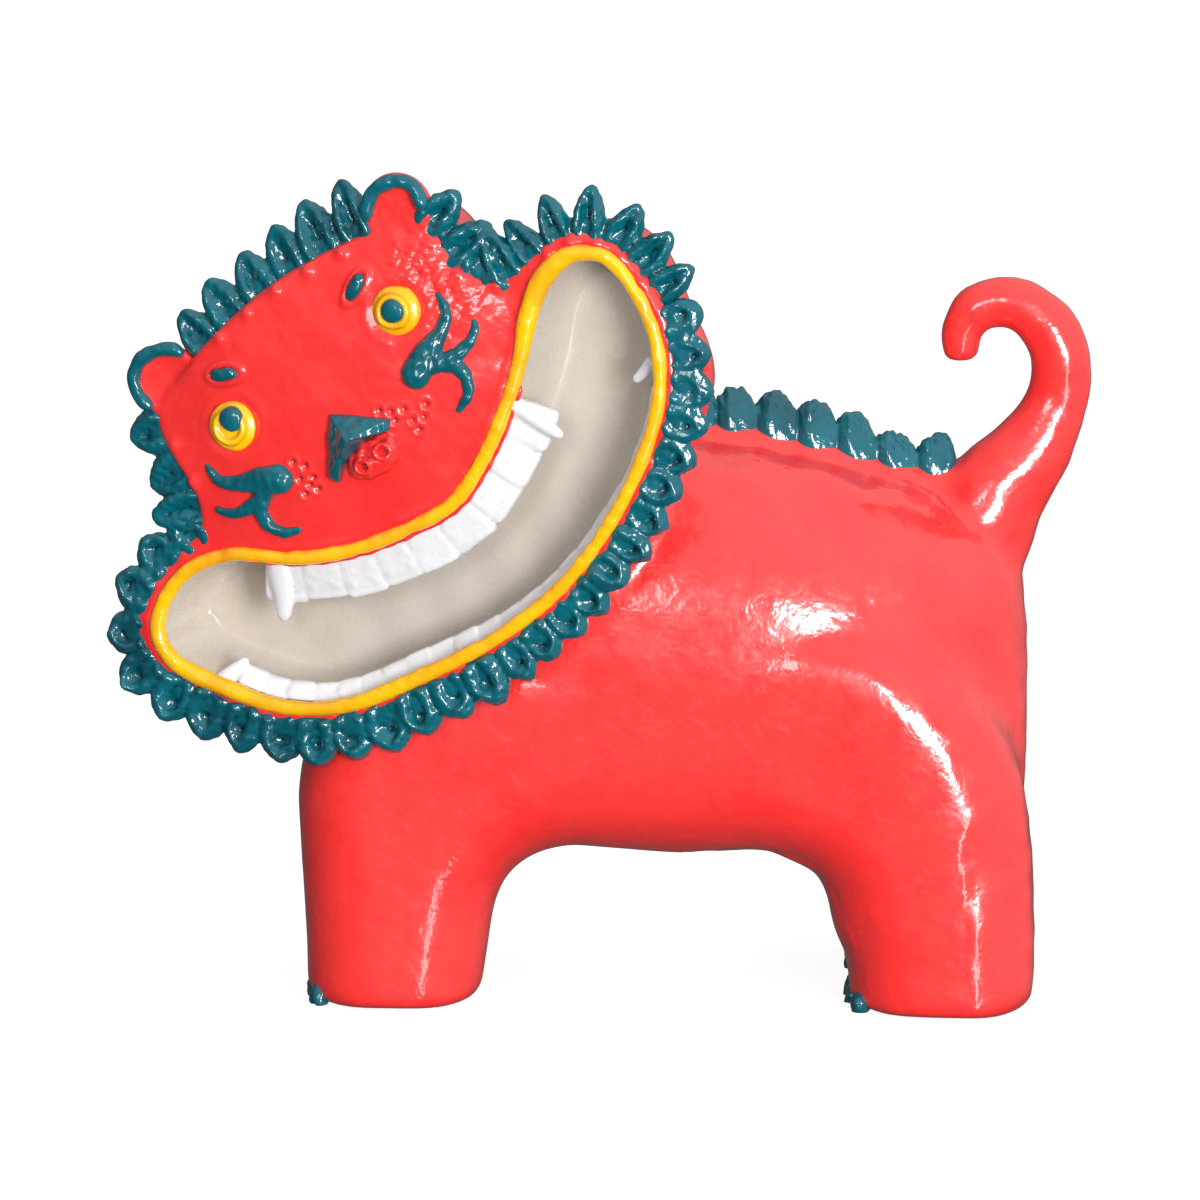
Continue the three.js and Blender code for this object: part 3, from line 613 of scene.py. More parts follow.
FRONT_FOOT, REAR_FOOT = (-75.3, -29.9), (64.3, 113)
SIDE_VIEW = evenly(np.concatenate([
    [(-72.7, 0), (-75.3, SOLE_EDGE), (-75.4, 14)], bow((-77.6, 54), (-74, 92), (-46, 99)),
    bow((54, 108), (96, 104), (110.8, 58)),
    [(113.4, 26), (113, SOLE_EDGE), (110.4, 0), (66.9, 0), (64.3, SOLE_EDGE), (64.2, 13)],
    bow((64.2, 13), (60.2, 18), (59.8, 25)), bow((59.8, 25), (58.9, 38.9), (40, 39.7)),
    bow((22, 38.2), (8, 39), (-6, 40.6)), bow((-6, 40.6), (-24, 39.4), (-27, 23)),
    [(-29.9, SOLE_EDGE), (-32.5, 0)],
]), 320, closed=True)


def lid(ring):
    """A flat lid over one ring of places, as triangles that turn the way the ring does."""
    mesh = bpy.data.meshes.new("lid")
    mesh.from_pydata(ring.tolist(), [], [list(range(len(ring)))])
    mesh.calc_loop_triangles()
    triangles = read_all(mesh.loop_triangles, "vertices", 3, np.int32)
    bpy.data.meshes.remove(mesh)
    return triangles


def lidded(rings):
    """A skin over rings whose ends are flat lids cut to the shape of the end rings."""
    rings = np.asarray(rings, float)
    count, sides = rings.shape[:2]
    triangles = np.concatenate([lid(rings[0])[:, ::-1], lid(rings[-1]) + (count - 1) * sides])
    return outwards(rings.reshape(-1, 3), between_rings(count, sides), triangles)


def side(hand):
    """Both legs of one side and the flank over them: one side view, drawn in towards the outside.

    It comes in by 19 (1 - cos) mm while it stands 26 + 22 sin mm out, so that each leg is a round post and
    the belly's edge a wide soft rounding. A sole stays level: its edge comes in sideways.
    """
    inward = right_of(along(SIDE_VIEW, True))
    low = SIDE_VIEW[:, 1] <= SOLE_EDGE
    start, end = np.where(SIDE_VIEW[:, :1] < 0, FRONT_FOOT, REAR_FOOT).T
    to_middle = (start + end - 2 * SIDE_VIEW[:, 0]) / (end - start)
    inward[low] = np.stack([to_middle, np.zeros(len(start))], 1)[low]
    turn = np.linspace(0, np.pi / 2, 14)
    inset = [7.5, 3.2, 1.0, *(ROUNDING[0] * (1 - np.cos(turn)))]
    out = [9.5, 11.5, 16, *(HALF_WIDTH - ROUNDING[1] * (1 - np.sin(turn)))]
    rings = []
    for come_in, y in zip(inset, out):
        view = SIDE_VIEW + inward * come_in
        lift = 2.6 * (come_in / ROUNDING[0]) ** 2.5 * (y > 20)
        z = np.maximum(view[:, 1], lift * (1 + view[:, 1] / SOLE_EDGE))
        rings.append(np.stack([view[:, 0], hand * splayed(view[:, 0], y), z], 1))
    return lidded(rings)


# Along the body, across and up, and the radius there.
TAIL = through([(94, 0, 114, 16), (102.6, 0, 129, 13.6), (112.4, 0, 142, 10.2), (118.5, 0, 154, 8.5),
                (119.6, 0, 164, 8), (115.2, 0, 173.6, 7.6), (106.4, 0, 179, 6.9), (97.8, 0, 177.5, 6.3),
                (93.5, 0, 171.5, 5.7), (93.6, 0, 163.4, 5.1)], 110)
LEDGE = through([(-4, 146.5), (20, 145.5), (42, 142.5), (62, 138.5), (80, 133.5), (94, 133.5)], 120)
LEDGE_SUNK = 4.4


def tail():
    """A round section along the tail's curve, thickest where it grows from the rump, with a blunt end."""
    radius = TAIL[:, 3] * np.sqrt(np.clip(1 - step_up(np.arange(len(TAIL)), 104, 111) ** 3, 0.02, 1))
    return skin(tube(TAIL[:, :3], radius, 32, up=SIDEWAYS))


def spine():
    """The low ledge under the crest: a roll sunk in the back, with a radius of 9.5 mm, at the tail 8 mm."""
    line = np.stack([LEDGE[:, 0], np.zeros(len(LEDGE)), LEDGE[:, 1] - LEDGE_SUNK], 1)
    return skin(tube(line, finger(np.linspace(9.5, 8.0, len(LEDGE)), 0.04, 0.04), 28, up=SIDEWAYS))


def neck():
    """A lump that fills the room between the shoulders and the back of the head."""
    return skin(egg((38, 34, 40)) + np.array([-38, -8, 128]))


BRIM_MIDDLE = np.array([0, 8])


def brim_rings(profile, sides=240):
    """Rings of the head's outline: each is the outline drawn in about its middle by a size, at a depth n."""
    line = evenly(BRIM_LINE, sides, closed=True)
    return np.array([np.concatenate([BRIM_MIDDLE + (line - BRIM_MIDDLE) * size, np.full((sides, 1), n)], 1)
                     for size, n in profile])


def drum():
    """The head behind the face: the outline carried back and drawn in to a rounded end."""
    back = through([(-7, 1.0), (-25, 1.005), (-38, 0.9), (-50, 0.66), (-56, 0.34), (-57.4, 0.08)], 26)
    return skin(in_place(brim_rings([(0.5, -7), *back[:, ::-1]])))


# %% [markdown]
# The mouth is a bowl sunk deep into the head. The grey lining hides where the red body ends, so the body
# is only cleared out of the lining's way, about a millimetre beyond it.

# %% The room of the mouth
ROOM_FRONT, ROOM_GRAIN = 14, 0.9


def mouth_room(grow, depth):
    """The lip's outline carried from in front of the face to a depth, drawn in as the bowl narrows."""
    half_line = LIP_LINE[::2]
    inward = right_of(along(half_line, True))
    rings = []
    for inset, n in ((-grow, ROOM_FRONT), (-grow, 0), (2.2 - grow, -depth * 0.6), (5.5 - grow, -depth * 0.86),
                     (8.5 - grow, -depth)):
        flat = half_line + inward * inset
        flat[:, 0] = 3.5 + (flat[:, 0] - 3.5) * (1 - 0.005 * max(inset, 0))
        rings.append(np.concatenate([flat, np.full((len(flat), 1), n)], 1))
    return melted(lidded(in_place(np.array(rings))), ROOM_GRAIN)


# %% Melt, rub and shape the body
body = melted(together([barrel(), side(1), side(-1), tail(), spine(), neck(), drum()]), BODY_GRAIN)
rubbed(body, 9)


def flanks(places):
    """1 on both sides of the barrel and the legs, 0 near the ground, the middle plane and the head."""
    x, y, z = places.T
    free = step_up(x, -80, -72) * (on_face(places)[:, 2] < -40)
    return step_up(np.abs(y), 14, 30) * step_up(z, 2, 12) * free


rubbed(body, 45, flanks)
print("body", len(body.vertices), "vertices")


def shape_body(mesh):
    """Moves the body's places in and out by soft hills and waves, so that it looks pressed by hand.

    x, y and z are views into the places, so what follows the belly's narrowing already works on it.
    """
    p = places_of(mesh)
    out = facing(mesh)
    x, y, z = p.T
    behind = -on_face(p)[:, 2]
    free = np.where(behind > 45, 1.0, step_up(behind, 48, 60))
    belly = hill(x - 18, 38) * np.clip((75 - z) / 35, 0, 1.2) ** 2
    p[:, 1] = y * (1 - 0.16 * belly * (z < 75))
    flank = step_up(np.abs(y), 25, 42)
    push = -1.0 * hill(np.hypot((x - 58) / 1.4, z - 62), 15) * flank
    push += 0.4 * waves(p, 26, 3) * free + 0.1 * waves(p, 9, 4) * free
    rough = mound(x, z, (80, 96), 20) + hill(np.hypot((x - 18) / 3, z - 55), 12)
    face_x, face_y, n = on_face(p).T
    jowl = 0.8 * mound(face_x, face_y, (82, -26), 10) - 2.6 * mound(face_x, face_y, (88, -6), 12)
    push += jowl * (n < -6)
    push += 0.12 * waves(p, 4.0, 5) * (0.15 + 0.85 * np.clip(rough, 0, 1)) * free
    sole = step_up(z, 0.5, 6)
    p += out * (push * (0.15 + 0.85 * sole))[:, None]
    p[:, 2] = np.maximum(p[:, 2], 0)
    put_places(mesh, p)


shape_body(body)
body = hollowed(body, mouth_room(1.0, 24.5))
piece("body_skin", body, RED)

# %% [markdown]
# ## Where the mane's locks sit
# The mane is a row of pinched locks round the edge of the head, and the red face laps up between them. So
# their places are settled before the face: runs of evenly spaced locks between two places on the head's
# outline.

# %% Runs of locks
# Name: from, to, how many, how long and how deep (n) the first and the last lock are, kind.
MANE = {
    "crown": ((-21.5, 54.5), (29.5, 55), 6, (11.2, 14.6), (-2.4, -2.4), "leaf"),
    "right_temple": ((49.5, 47), (58, 24.5), 4, (11.2, 13.6), (-2.6, -2.6), "leaf"),
    "right_lobe": ((67, 25.5), (89.5, 0), 6, (12.2, 10.2), (-2.6, -3.6), "leaf"),
    "right_jaw": ((88.5, -8), (4, -54), 13, (7.6, 9.0), (-2.4, -1.4), "cup"),
    "left_jaw": ((-6, -53.5), (-83, -5), 11, (10.2, 10.6), (-1.6, -1.6), "cup"),
    "left_lobe": ((-82, 4), (-54, 15.5), 4, (8.0, 9.4), (-2.0, -2.0), "cup"),
    "left_temple": ((-48, 21.5), (-45.5, 43), 3, (15.5, 9.2), (-2.4, -2.4), "leaf"),
}


def brim_run(start, end, shares):
    """Place on the outline and direction outwards at shares of the way between two places, and its length."""
    first = share_near(BRIM_LINE, start)
    span = (share_near(BRIM_LINE, end) - first) % 1
    at, way = at_share(BRIM_LINE, first + span * shares)
    return at, -right_of(way), span * BRIM_LENGTH


print("locks", sum(run[2] for run in MANE.values()))

# %% [markdown]
# ## The red face
# A thick plate with the head's outline, domed at the forehead, with the mouth's opening through it. It is
# a piece of its own with a finer grain than the body, because the eye goes there first: sockets round the
# eyes, borders round the brows, pricked pores, lumps pressed up against each lock, and a rough patch at
# the right temple where the paint was dabbed on.

# %% The face's plate
FACE_GRAIN = 0.62
EARS = ((-36.3, 53.0), (42.6, 54.6))
# Radius and height.
EAR_DISH = [(0.05, 0.2), (3.5, 0.2), (6.3, 0.4), (8.5, 0.7), (9.3, 0.0), (9.0, -2.2), (6.5, -4.6), (0.05, -5)]


def plate():
    """Rings of the head's outline: over the dome, round the edge, and back under it to a flat rear."""
    front = [(size, 0.0) for size in np.linspace(0.03, 0.95, 34)]
    edge = [(0.972, -0.15), (0.987, -0.7), (0.997, -1.6), (1.002, -3), (1.0, -8), (0.985, -8.6)]
    rear = [(size, -8.8) for size in (0.95, 0.6, 0.3, 0.05)]
    rings = brim_rings(front + edge + rear, 360)
    rings[..., 2] += dome(rings[..., 0], rings[..., 1]) * np.interp(rings[:, :1, 2], [-6, -2, 0], [0, 0.8, 1])
    return skin(in_place(rings))


def turned(profile, middle):
    """A profile of (radius, height) pairs turned round an axis that stands out of the face."""
    line = through(profile, 40)
    radius, height = line[:, :1], line[:, 1:]
    angle = once_round(56)[None, :]
    shape = np.stack([radius * np.cos(angle), radius * np.sin(angle), height * np.ones_like(angle)], -1)
    return shape + np.asarray(middle, float)


ear_shells = [skin(in_place(turned(EAR_DISH, (x, y, -0.3)))) for x, y in EARS]
face = melted(together([plate(), *ear_shells]), FACE_GRAIN)
face = hollowed(face, mouth_room(0.4, 40))
rubbed(face, 2)
print("face", len(face.vertices), "vertices")

# %% Details pressed into the face
EYES = ((-25.2, 32.7), (29.4, 33.2))
BROWS, BROW_SLANT = ((-19.7, 44.9), (23.4, 44.0)), math.radians(26)
PORES = [(11.4, 14.6), (13.8, 12.8), (13.4, 10.4), (17.1, 11.4), (17.3, 7.9), (22.6, 9.4), (17.3, 5.1),
         (-14, 13.8), (-17.4, 11.9), (-14, 10.1), (-15.7, 9.1), (-14.7, 7.2), (-16.2, 16.4), (20.2, 7.0),
         (-18.4, 8.0)]


def brow_place(x, y, middle, slant):
    """x and y measured along and across a brow, in half lengths and half widths."""
    c, s = math.cos(slant), math.sin(slant)
    u, v = x - middle[0], y - middle[1]
    return (u * c + v * s) / 4.0, (v * c - u * s) / 1.9


def shape_face(mesh):
    """Moves the plate's front in and out: hollows and borders are hills of a distance, lumps are waves."""
    p = on_face(places_of(mesh))
    out = facing(mesh) @ FACE_AXES.T
    x, y, n = p.T
    front = step_up(out[:, 2], 0.2, 0.8) * step_up(n, -5, -2)
    push = 0.2 * waves(p, 18, 11) + 0.05 * waves(p, 6, 12)
    for eye, brow, slant in zip(EYES, BROWS, (-BROW_SLANT, BROW_SLANT)):
        away = np.hypot(x - eye[0], y - eye[1])
        push += 0.3 * hill(away - 8.4, 1.5) - 1.2 * hill(away, 6.2)
        push += 0.75 * hill(np.hypot(*brow_place(x, y, brow, slant)) - 1.25, 0.28)
    for pore_x, pore_y in PORES:
        away = np.hypot(x - pore_x, y - pore_y)
        push += 0.3 * hill(away - 1.5, 0.6) - 1.25 * hill(away, 0.8)
    for start, end, count, _, _, kind in MANE.values():
        at, outward, _ = brim_run(start, end, np.linspace(0, 1, count))
        for middle in (at[1:] + at[:-1]) / 2 - outward[1:] * 2.4:
            push += (0.9 if kind == "leaf" else 0.3) * mound(x, y, middle, 1.6)
    dabbed = hill(np.hypot((x - 43) / 1.1, (y - 36) / 1.5), 9.5)
    push += dabbed * (0.2 * waves(p, 1.9, 13) + 0.22 * waves(p, 4.5, 14))
    push += 0.5 * hill(to_line(p, LIP_LINE[::3]) - 2.6, 1.1)
    p += out * (push * front)[:, None]
    put_places(mesh, in_place(p))


shape_face(face)
piece("face", face, RED, reach=1)

# %% [markdown]
# ## The mouth
# A yellow bead frames it, the grey bowl sinks behind, and the teeth stand in the bowl. The bead is a rope
# laid along the lip's line, thicker where the brush went over it twice. The bowl is a sheet between the
# upper and the lower lip whose depth depends only on how far a place is from them: it drops steeply, then
# levels out.

# %% Lip and bowl
BOWL_DEPTH, BOWL_ROWS, BOWL_COLUMNS = 20.5, 260, 84
LINING_THICK = 0.7


def on_lip(x, upper):
    """The share of the lip's length where its upper or its lower half passes x."""
    rising = along(LIP_LINE, True)[:, 0] > 0
    gap = np.abs(LIP_LINE[:, 0] - x)
    return float(SHARES[np.argmin(np.where(rising == upper, gap, np.inf))])


def lip():
    """A closed rope along the lip: radius 1.8 mm and a little more in four places and at random."""
    x, y = LIP_LINE.T
    line = np.stack([x, y, dome(x, y) + 0.35], 1)
    radius = 1.8 + 0.7 * mound(x, y, (62, 15), 14) + 0.6 * mound(x, y, (-72, -14), 18)
    radius += 0.35 * mound(x, y, (-25, -46), 24) + 0.4 * mound(x, y, (72, 19), 8)
    radius += 0.1 * waves(line, 9, 21)
    rings = tube(line, radius, 28, 0.95, close=True)
    return skin(in_place(rings + 0.07 * lumps(rings, 4, 22)), wrap=True)


def sunk(away, reach, power):
    """How far the bowl has sunk, as a share: 1 - (1 - distance / reach) to a power, and 1 past that reach."""
    return 1 - (1 - np.clip(away / reach, 0, 1)) ** power


def bowl():
    """A sheet from the upper to the lower lip, sunk more gently from the lower one, less so at its right."""
    left, right = share_near(LIP_LINE, (-78.3, -3)), share_near(LIP_LINE, (85.2, 6))
    span = (right - left) % 1
    u = np.linspace(0.004, 0.996, BOWL_ROWS)
    v = (0.5 - 0.5 * np.cos(np.linspace(0, np.pi, BOWL_COLUMNS)))[None, :, None]
    upper, _ = at_share(LIP_LINE, left + span * u)
    lower, _ = at_share(LIP_LINE, left - (1 - span) * u)
    flat = (upper[:, None] * (1 - v) + lower[:, None] * v).reshape(-1, 2)
    above, below = to_line(flat, upper), to_line(flat, lower)
    steep = step_up(flat[:, 0], 45, 72)
    n = 0.5 - BOWL_DEPTH * sunk(above, 8, 3.0) * sunk(below, 8.5 - 2.7 * steep, 2.2 - 0.6 * steep)
    uneven = waves(np.column_stack([flat, np.zeros(len(flat))]), 16, 23)
    n += 0.2 * uneven * step_up(np.minimum(above, below), 1, 5)
    return np.column_stack([flat, n]).reshape(BOWL_ROWS, BOWL_COLUMNS, 3)


def sheet(grid):
    """One face between each four neighbours of an open grid, facing out of the face."""
    rows, columns = grid.shape[:2]
    corner = (np.arange(rows - 1)[:, None] * columns + np.arange(columns - 1)[None, :]).ravel()
    quads = np.stack([corner, corner + columns, corner + columns + 1, corner + 1], 1)
    flat = grid.reshape(-1, 3)
    a, b, c = (flat[quads[:, i]] for i in (0, 1, 2))
    if np.cross(b - a, c - a)[:, 2].sum() < 0:
        quads = quads[:, ::-1]
    return in_place(flat), quads, np.zeros((0, 3), int)


piece("lip", lip(), YELLOW)
lining = piece("mouth_bowl", sheet(bowl()), GREY)
wall = lining.modifiers.new("wall", "SOLIDIFY")
wall.thickness = LINING_THICK * MM
wall.offset = -1

# %% [markdown]
# ## Teeth
# Cast teeth are soft blocks that run together, each a little different. A superellipsoid gives a block
# with soft edges. All the blocks of a row are worked out at once: one more dimension in the array holds
# the teeth, each with its own frame on the lip. The row is melted, so that only a soft crease is left
# between two teeth, where painted shade makes the white look grey.

# %% Rows of teeth, fangs and the gum
TOOTH_GRAIN = 0.4
UPPER_COUNT, LOWER_COUNT = 9, 22


def spread(at, across, ahead, x, y, z):
    """Face places of a row of forms, each with a place and two directions: at + x across + y ahead, z out."""
    flat = at[:, None, None] + across[:, None, None] * x[..., None] + ahead[:, None, None] * y[..., None]
    return np.concatenate([flat, z[..., None]], -1)


def blocks(shares, long, thick, start, n, seed):
    """Teeth along the lip: eggs stretched to blocks that point into the mouth.

    A tooth is as wide as the distance between its neighbours' middles allows, at its root and at its tip,
    so the row stays closed where the lip bends and the teeth fan out.
    """
    rng = np.random.default_rng(seed)
    count = len(shares)
    at, way = at_share(LIP_LINE, shares)
    inward = right_of(way)

    def vary(most):
        return rng.uniform(-most, most, count)[:, None, None]

    unit = egg((1, 1, 1), 0.3, 22, 36)[None]
    long = long * np.ones(count)
    root, tip = (np.linalg.norm(np.gradient(at + inward * d[:, None], axis=0), axis=1)[:, None, None] / 2
                 for d in (0 * long, long))
    long = long[:, None, None] * (1 + vary(0.05))
    reach = (unit[..., 1] + 1) / 2
    x = unit[..., 0] * (root + (tip - root) * reach) * 1.07 + vary(0.02) * reach * 8
    y = start + reach * (long - start) + vary(0.25)
    z = unit[..., 2] * thick / 2 * (1 - 0.3 * reach) + n - 2.0 * reach + vary(0.25)
    z += 0.18 * lumps(np.stack([x * 0.4, y * 2 + vary(9), z], -1), 6, seed)[..., 0]
    return skin(in_place(spread(at, way, inward, x, y, z)))


def fang(places, radii, flat=0.7):
    """A tapering finger through face places, flattened towards the face."""
    taper = through([(i * 3.0, r) for i, r in enumerate(radii)], 30)[:, 1]
    return skin(in_place(tube(through(places, 30), finger(taper, 0.06, 0.16), 20, flat)))


def tooth_row(name, parts):
    """A row melted into one, rubbed and painted."""
    row = melted(together(parts), TOOTH_GRAIN)
    rubbed(row, 3)
    piece(name, row, WHITE, reach=1)


first, last = on_lip(-39, True), on_lip(41, True)
places = first + (last - first) / UPPER_COUNT * (np.arange(UPPER_COUNT) + 0.5)
tooth_row("upper_teeth", [
    blocks(places, 12.2, 4.4, 0.9, -2.4, 31),
    fang([(-37.4, -1.6, -2.4), (-41.2, -8.5, -3.2), (-46.6, -15.4, -4.0)], (4.2, 3.8, 2.8, 1.5)),
    fang([(40.2, -1.6, -1.4), (43.0, -9.2, -2.2), (46.2, -16.6, -3.2)], (2.5, 2.2, 1.9, 1.5), 0.8),
])

first, last = on_lip(76, False), on_lip(-67.5, False)
places = first + (last - first) / LOWER_COUNT * (np.arange(LOWER_COUNT) + 0.5)
lower_long = np.interp(at_share(LIP_LINE, places)[0][:, 0], [-20, 15, 60], [6.2, 4.8, 4.2])
tooth_row("lower_teeth", [
    blocks(places, lower_long, 3.4, 1.2, -4.2, 32),
    fang([(-71.6, -19.6, -3.4), (-66.5, -18.6, -4.6), (-60.9, -17.6, -5.6)], (3.0, 2.5, 1.8, 1.1)),
    fang([(78.0, -13.6, -3.4), (73.5, -14.3, -4.6), (69.3, -14.7, -5.4)], (2.3, 1.9, 1.5, 1.1)),
])


def gum():
    """The red strip over the upper teeth: a thin rope along the upper lip, just inside it."""
    left, right = on_lip(-44, True), on_lip(44, True)
    at, way = at_share(LIP_LINE, left + (right - left) * np.linspace(0, 1, 160))
    line = np.column_stack([at + right_of(way) * 1.9, np.full(160, -0.6)])
    return skin(in_place(tube(line, finger(0.65 + 0.12 * waves(line, 5, 24), 0.03, 0.03), 18)))


piece("gum", gum(), RED)

# %% [markdown]
# ## Eyes, brows, nose and whisker marks
# Each is a small pellet of clay laid on the face. The eyes were turned round: a profile spins about an
# axis out of the face. The nose is a wedge, whose top is lower the nearer it comes to its outline. The
# whisker marks are fingers of clay that meet in a blob, so they are melted together.

# %% Eyes and brows
EYE_PROFILE = [(0.05, -2), (5.6, -2), (6.4, -0.6), (6.2, 0.9), (5.0, 1.6), (4.6, 2.1), (4.45, 3.2),
               (3.9, 3.75), (3.3, 3.5), (2.8, 3.0), (0.05, 2.9)]
PUPIL_PROFILE = [(0.05, 1.5), (2.9, 1.5), (3.15, 3.0), (2.85, 3.9), (1.6, 4.5), (0.05, 4.7)]
PUPIL_SHIFTS = ((1.7, 1.5), (0.3, 0.2))


def eye_parts(profile, shifts, seed):
    """The same profile turned at both eyes, each pressed a little out of round."""
    parts = []
    for x, y in np.array(EYES) + shifts:
        rings = turned(profile, (x, y, dome(x, y) - 0.5))
        rings[..., :2] += 0.1 * lumps(rings, 7, seed)
        parts.append(skin(in_place(rings)))
    return together(parts)


def brows():
    """A grain of clay over each eye, turned to its slant."""
    parts = []
    for (x, y), slant in zip(BROWS, (-BROW_SLANT, BROW_SLANT)):
        c, s = math.cos(slant), math.sin(slant)
        grain = egg((3.8, 1.8, 1.5), 0.85, 24, 40) @ np.array([(c, s, 0), (-s, c, 0), (0, 0, 1)])
        grain += [x, y, dome(x, y) + 0.45]
        parts.append(skin(in_place(grain + 0.12 * lumps(grain, 3, 43))))
    return together(parts)


piece("eyes", eye_parts(EYE_PROFILE, (0, 0), 41), YELLOW)
piece("pupils", eye_parts(PUPIL_PROFILE, PUPIL_SHIFTS, 42), TEAL)
piece("brows", brows(), TEAL)

# %% Nose
NOSE_TIP = np.array([2.4, 12.4])
NOSE_OUTLINE = [(0, 21), (4.4, 18), (12.8, 11.4), (11.2, 9.0), (5.6, 10.4), (1, 9.8), (-4.5, 8.2),
                (-8.4, 5.2), (-9.9, 7.2), (-3.6, 17)]
NOSTRILS = ((0.6, 5.0), (7.4, 5.4))


def nose_wedge():
    """Straight lines from the tip of the nose to its outline, slightly rounded at the tip and at the edge."""
    line = evenly(np.array(NOSE_OUTLINE, float), 120, closed=True)
    middle = np.linspace(0.1, 0.94, 20)
    share = np.concatenate([[0.03], middle, [0.98, 1.0, 1.0]])[:, None, None]
    height = np.concatenate([[7.3], np.interp(middle, [0, 1], [7.6, 1.4]), [0.9, 0.2, -4]])[:, None, None]
    rings = np.concatenate([NOSE_TIP + (line - NOSE_TIP) * share, height * np.ones((1, 120, 1))], 2)
    rings[..., 2] += dome(0, 12.5) + 0.2 * lumps(rings, 3.5, 44)[..., 0]
    return skin(in_place(rings))


def nose_bulb():
    """An egg under the wedge with two nostrils: each a ring that stands up round a hole."""
    bulb = egg((8.2, 5.0, 4.4), 0.95, 60, 110) + np.array([3.4, 5.8, dome(0, 4.5) - 0.4])
    bulb += 0.22 * lumps(bulb, 3, 45)
    front = bulb[..., 2] > dome(0, 4.5)
    for x, y in NOSTRILS:
        away = np.hypot(bulb[..., 0] - x, bulb[..., 1] - y)
        bulb[..., 2] += front * (0.9 * hill(away - 1.9, 0.6) - 2.2 * hill(away, 1.0))
    return skin(in_place(bulb))


piece("nose", nose_wedge(), TEAL)
piece("nose_bulb", nose_bulb(), RED)

# %% Whisker marks
CLAY_GRAIN = 0.42
# Places of each finger on the right cheek, and its radii.
WHISKERS = [
    ([(21.4, 15.6), (25, 17.0), (29, 19.3), (35, 21.8), (39.8, 25.2), (41.0, 31.4)],
     (4.0, 3.9, 3.1, 2.1, 1.6, 0.9)),
    ([(27, 17.5), (32.5, 15.8), (38.5, 15.6), (43, 17.3), (45.6, 20.5)], (2.5, 2.3, 1.9, 1.5, 0.9)),
    ([(31, 16.3), (34.8, 13), (35.2, 9), (33, 5.4), (27.8, 3.2)], (2.3, 2.1, 1.8, 1.5, 0.9)),
]


def whisker_mark(hand, shift):
    """Three tapering fingers on one cheek, melted where they meet; shift moves the whole mark."""
    arms = []
    for places, radii in WHISKERS:
        flat = np.array(places) * (hand, 1) + shift
        line = through(np.column_stack([flat, dome(*flat.T) + 0.25]), 60)
        radius = np.interp(np.linspace(0, 1, 60), np.linspace(0, 1, len(radii)), radii)
        arms.append(skin(in_place(tube(line, finger(radius, 0.14, 0.05), 24, 0.72))))
    mark = melted(together(arms), CLAY_GRAIN)
    rubbed(mark, 3)
    put_places(mark, pushed(mark, 0.12, 3, 46))
    return mark


piece("whisker_mark_right", whisker_mark(1, (0, 0)), TEAL)
piece("whisker_mark_left", whisker_mark(-1, (3.0, -2.2)), TEAL)

# %% Ear rims
EAR_RIMS = [
    [(-27.8, 55.6), (-29.5, 58.4), (-33.6, 60.6), (-38.6, 60.9), (-42.6, 58.6), (-44.4, 54.4), (-43.3, 48.8)],
    [(34.4, 56.6), (36.4, 59.4), (40.5, 61.9), (45.0, 61.7), (48.6, 59.6), (50.2, 56.6), (49.9, 53.6),
     (48.6, 50.6)],
]


def ear_rim(places):
    """A rope along the ear's outer edge, thin at both ends."""
    line = through([(x, y - 0.4, 0.9) for x, y in places], 90)
    rings = tube(line, finger(1.85 + 0.15 * waves(line, 7, 47), 0.12, 0.12), 28, 0.95)
    return skin(in_place(rings + 0.1 * lumps(rings, 3.5, 48)))


piece("ear_rims", together([ear_rim(places) for places in EAR_RIMS]), TEAL)

# %% [markdown]
# ## The mane
# A lock is a pellet pinched between two fingertips and pressed down the middle. Those of the crown and
# temples are leaves with a groove between two raised rims. Those round the jaw are short cups with a deep
# slot, a bump at both inner corners and a knob at the tip. One function of two parameters, along the lock
# and round it, makes both kinds, and a dimension more makes the whole run at once, each lock with its own
# chance values. They are pressed side by side into a roll of clay, and melting them together with it
# closes the gaps at their feet.

# %% A run of locks
# Share of the length and of the half width.
LEAF = through([(0, 0.7), (0.05, 0.85), (0.16, 0.97), (0.34, 1.02), (0.55, 0.93), (0.74, 0.72), (0.88, 0.48),
                (0.96, 0.27), (1, 0.06)], 60)
CUP = through([(0, 0.9), (0.06, 1.0), (0.2, 1.03), (0.4, 1.05), (0.6, 1.0), (0.76, 0.82), (0.88, 0.55),
               (0.96, 0.3), (1, 0.1)], 60)
FOOT, FOOT_TO_LIP = 3.4, 2.3
LENGTHWISE, ROUND_STEPS = np.concatenate([[0, 0.02], np.linspace(0.05, 0.95, 26), [0.98, 1.0]]), 40


